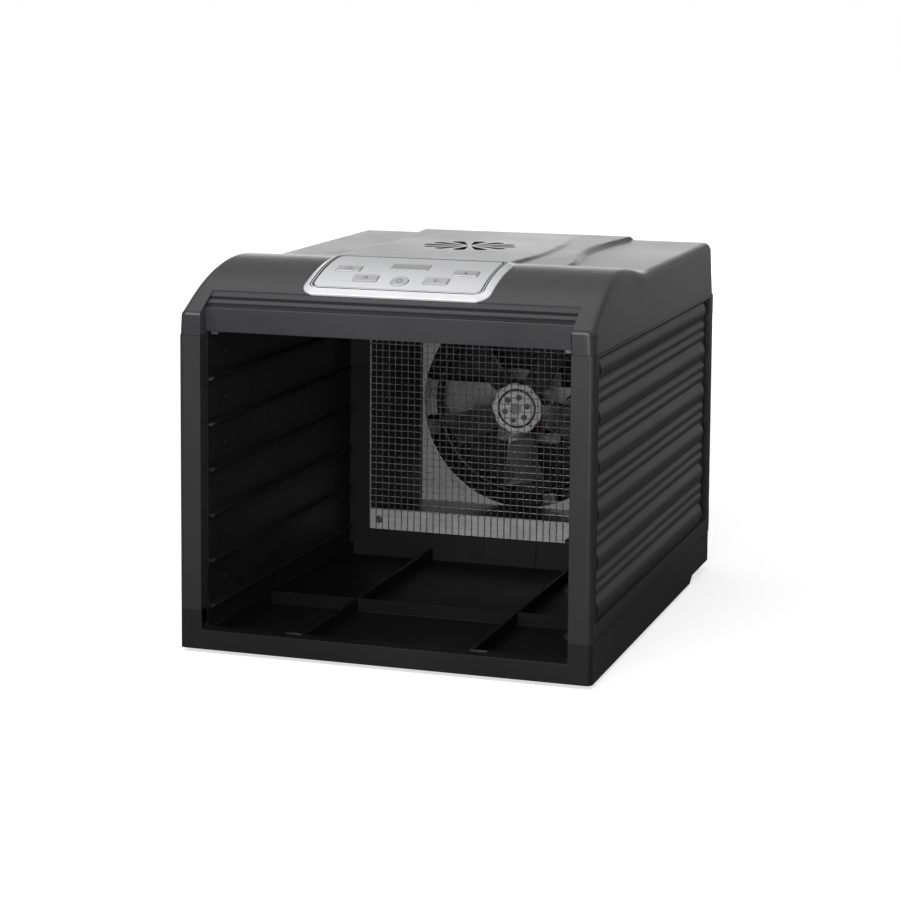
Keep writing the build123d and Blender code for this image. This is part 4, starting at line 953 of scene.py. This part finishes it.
def wire_guard():
    """Welded mesh: round wires, each made once along its way and copied at the pitch."""
    wires = []
    height = guard_high - guard_low
    upright_y, level_y = guard_back_y - upright_ahead, guard_back_y - level_ahead
    for name, count, start, stop, length, y in (
            ("upright", guard_columns, -guard_half, guard_half, height, upright_y),
            ("level", guard_rows, guard_low, guard_high, 2 * guard_half, level_y)):
        deselect()
        turn = (0, 0, 0) if name == "upright" else (0, math.pi / 2, 0)
        bpy.ops.mesh.primitive_cylinder_add(vertices=8, radius=mm(wire_radius), depth=mm(length),
                                            rotation=turn)
        first = bpy.context.object
        place_applied()
        for index in range(count + 1):
            along = start + (stop - start) * index / count
            # Uprights get painted shade and levels painted glints; levels over the flange take its painted
            # light, to sink into it.
            if name == "upright":
                middle = at(along, y, (guard_low + guard_high) / 2)
                look = "guard_wire"
            else:
                middle = at(0, y, along)
                look = "lit_flange_zinc" if along < flange_top else "level_wire_painted_glint"
            wire = first.copy()
            wire.data = first.data.copy()
            bpy.context.scene.collection.objects.link(wire)
            wire.location = middle
            paint(wire, look)
            wires.append(wire)
        bpy.data.objects.remove(first)
    deselect()
    for wire in wires:
        wire.select_set(True)
    bpy.context.view_layer.objects.active = wires[0]
    place_applied()
    bpy.ops.object.join()
    guard = bpy.context.object
    guard.name = "wire_guard_mesh"
    bpy.ops.object.shade_smooth_by_angle(angle=math.radians(60))
    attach(guard, "housing")
    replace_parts(guard, "wire_guard")


# ---- Fan ----
hub_y = 374.0
hub_radius = 24.0
# Insets of the hub's front face: how far in, and how far ahead. The third and fourth make the groove.
hub_steps = ((1.0, 0.9), (4.4, 0.3), (0.7, -1.6), (1.0, 0.0), (0.5, 2.7), (1.0, 0.4), (5.0, 0.1), (4.0, 0.15))
rim_from, rim_waves, rim_depth = 22.5, 9, 0.06
notch_swings = (0, 7, -5, 9, 3, -8, 6, -3)
notch_reach, notch_size = 21.9, (5.4, 2.2, 0.9)
groove_inner, groove_outer, groove_back = 16.4, 18.7, 2.2
hole_count, hole_reach, hole_radius = 6, 11.0, 1.7


def fan_hub():
    """Pressed hub: a raised cap, a groove painted black as shade, a worn rim with shallow notches."""
    deselect()
    bpy.ops.mesh.primitive_cylinder_add(vertices=72, radius=mm(hub_radius), depth=mm(1.0),
                                        location=at(0, hub_y + 3.5, fan_z), rotation=(math.pi / 2, 0, 0))
    hub = bpy.context.object
    place_applied()
    edit(hub)
    pick(hub, "faces", lambda f: f.normal.y < -0.9)
    for thickness, ahead in hub_steps:
        bpy.ops.mesh.inset(thickness=mm(thickness), depth=0.0, use_even_offset=True)
        bpy.ops.transform.translate(value=(0, -mm(ahead), 0))
    leave()
    centre = at(0, 0, fan_z)
    for vertex in hub.data.vertices:
        reach = math.hypot(vertex.co.x - centre.x, vertex.co.z - centre.z) * 1000
        if reach > rim_from:
            angle = math.atan2(vertex.co.z - centre.z, vertex.co.x - centre.x)
            scale = 1 - rim_depth * (0.5 + 0.5 * math.cos(rim_waves * angle)) ** 3
            vertex.co.x = centre.x + (vertex.co.x - centre.x) * scale
            vertex.co.z = centre.z + (vertex.co.z - centre.z) * scale
    for index, swing in enumerate(notch_swings):
        cut(hub, notch(math.radians(index * 45 + swing)))
    for index in range(hole_count):
        turn = math.radians(index * 60 + 45)
        x, z = hole_reach * math.cos(turn), fan_z + hole_reach * math.sin(turn)
        cut(hub, hub_hole(x, z, hub_y - 3, hub_y + 2))
    round_edges(hub, 0.18, 30)
    settle(hub, "fan_hub_pressing", ["fan_hub"], 30)

    # The groove's faces get black: painted shade.
    def in_groove(face):
        spot = face.center
        reach = math.hypot(spot.x - centre.x, spot.z - centre.z) * 1000
        return groove_inner < reach < groove_outer and spot.y > at(0, hub_y + groove_back, 0).y

    second_finish(hub, "groove_shade_and_screen_black", in_groove)


def notch(turn):
    """A narrow radial slot through the hub's rim."""
    deselect()
    middle = at(notch_reach * math.cos(turn), hub_y + 2.2, fan_z + notch_reach * math.sin(turn))
    bpy.ops.mesh.primitive_cube_add(size=1.0, location=middle, rotation=(0, -turn, 0),
                                    scale=[mm(length) for length in notch_size])
    place_applied()
    return bpy.context.object


def hub_hole(x, z, front, back):
    """A round bar along y."""
    deselect()
    bpy.ops.mesh.primitive_cylinder_add(vertices=24, radius=mm(hole_radius), depth=mm(back - front),
                                        location=at(x, (front + back) / 2, z), rotation=(math.pi / 2, 0, 0))
    place_applied()
    return bpy.context.object


sheet_edge, flange_depth = 0.25, 1.5


def hood():
    """The pressed hood: one sheet, painted light on its front flange and dark as shade on the walls that turn
    the air.
    """
    piece = dressed("air_hood", sheet_edge)
    paint(piece, "hood_zinc_painted_shade")
    front = min(vertex.co.y for vertex in piece.data.vertices) + mm(flange_depth)
    second_finish(piece, "lit_flange_zinc", lambda face: face.center.y < front and face.normal.y < -0.5)


def throat_plate():
    """The fan plate: plain sheet, with the throat's rim painted dark as shade."""
    second_finish(dressed("fan_plate", sheet_edge), "hood_zinc_painted_shade", lambda face: abs(face.normal.y) < 0.6)


basin_low, basin_high = (-152, 8, -5), (152, 330, 28)


def shaded_basin(piece):
    """The basin inside the doorway is duller than the base's outside, and painted darker as shade inside the
    cabinet.
    """
    low, high = at(*basin_low), at(*basin_high)

    def inside(face):
        return all(a < b < c for a, b, c in zip(low, face.center, high)) and face.normal.z > -0.5

    second_finish(piece, "basin_painted_shade", inside)


rail_x, rail_y, rail_z = 171.55, 221.0, 254.0
rail_radius, rail_length = 1.05, 412.0


def seam_rail(name, side):
    """Thin half-round rail under the cover's seam, along one side."""
    deselect()
    middle = at(side * rail_x, rail_y, rail_z)
    bpy.ops.mesh.primitive_cylinder_add(vertices=20, radius=mm(rail_radius), depth=mm(rail_length),
                                        rotation=(math.pi / 2, 0, 0), location=middle)
    rail = bpy.context.object
    place_applied()
    edit(rail)
    pick(rail, "faces", lambda f: abs(f.normal.y) > 0.9)
    bpy.ops.mesh.inset(thickness=mm(0.4), depth=0.0)
    leave()
    round_edges(rail, 0.3, 50)
    only(rail)
    rail.name = name
    bpy.ops.object.shade_smooth_by_angle(angle=math.radians(40))
    # The rail takes the sides' darker copy of the charcoal: painted shade.
    paint(rail, "side_plastic_painted_shade")
    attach(rail, "housing")


screen_y, screen_width, screen_height = 445.9, 184.0, 166.0
cells_across, cells_up = 22, 20
cell_rim, cell_depth, screen_thickness = 0.7, 0.5, 0.8


def grille_screen():
    """Black felt screen inside the rear grille, pressed into shallow cells."""
    deselect()
    bpy.ops.mesh.primitive_grid_add(x_subdivisions=cells_across, y_subdivisions=cells_up, size=1.0,
                                    location=at(0, screen_y, fan_z), rotation=(-math.pi / 2, 0, 0))
    screen = bpy.context.object
    screen.scale = (mm(screen_width), mm(screen_height), 1.0)
    place_applied()
    edit(screen)
    bpy.ops.mesh.select_all(action="SELECT")
    bpy.ops.mesh.inset(thickness=mm(cell_rim), depth=0.0, use_individual=True)
    bpy.ops.transform.translate(value=(0, -mm(cell_depth), 0))
    bpy.ops.mesh.select_all(action="SELECT")
    bpy.ops.mesh.normals_make_consistent(inside=False)
    leave()
    apply(screen, "SOLIDIFY", thickness=mm(screen_thickness), offset=-1.0)
    screen.name = "grille_screen"
    paint(screen, "groove_shade_and_screen_black")
    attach(screen, "housing")


camera()
lights()
floor()
bpy.context.scene.view_settings.view_transform = "Standard"
for node, piece in frame["nodes"].items():
    paint(piece, look_of.get(node, slot_of[node]))
top_cover()
control_bezel()
control_faceplate()
keys()
display()
key_marks()
wire_guard()
fan_hub()
hood()
throat_plate()
grille_screen()
seam_rail("seam_rail_right", 1)
seam_rail("seam_rail_left", -1)
edge_widths = {
    "base_tray": 0.7,
    "right_side_panel": 0.4,
    "left_side_panel": 0.4,
    "right_tray_rack": 0.4,
    "left_tray_rack": 0.4,
    "bulkhead": 0.4,
    "rear_cover": 0.5,
    "motor_strap": sheet_edge,
    "fan_blades": sheet_edge,
    "ceiling_liner": 0.35,
    "cord_gland": 0.4,
    "feet": 0.3,
}
for node, width in edge_widths.items():
    piece = dressed(node, width)
    if node == "base_tray":
        shaded_basin(piece)
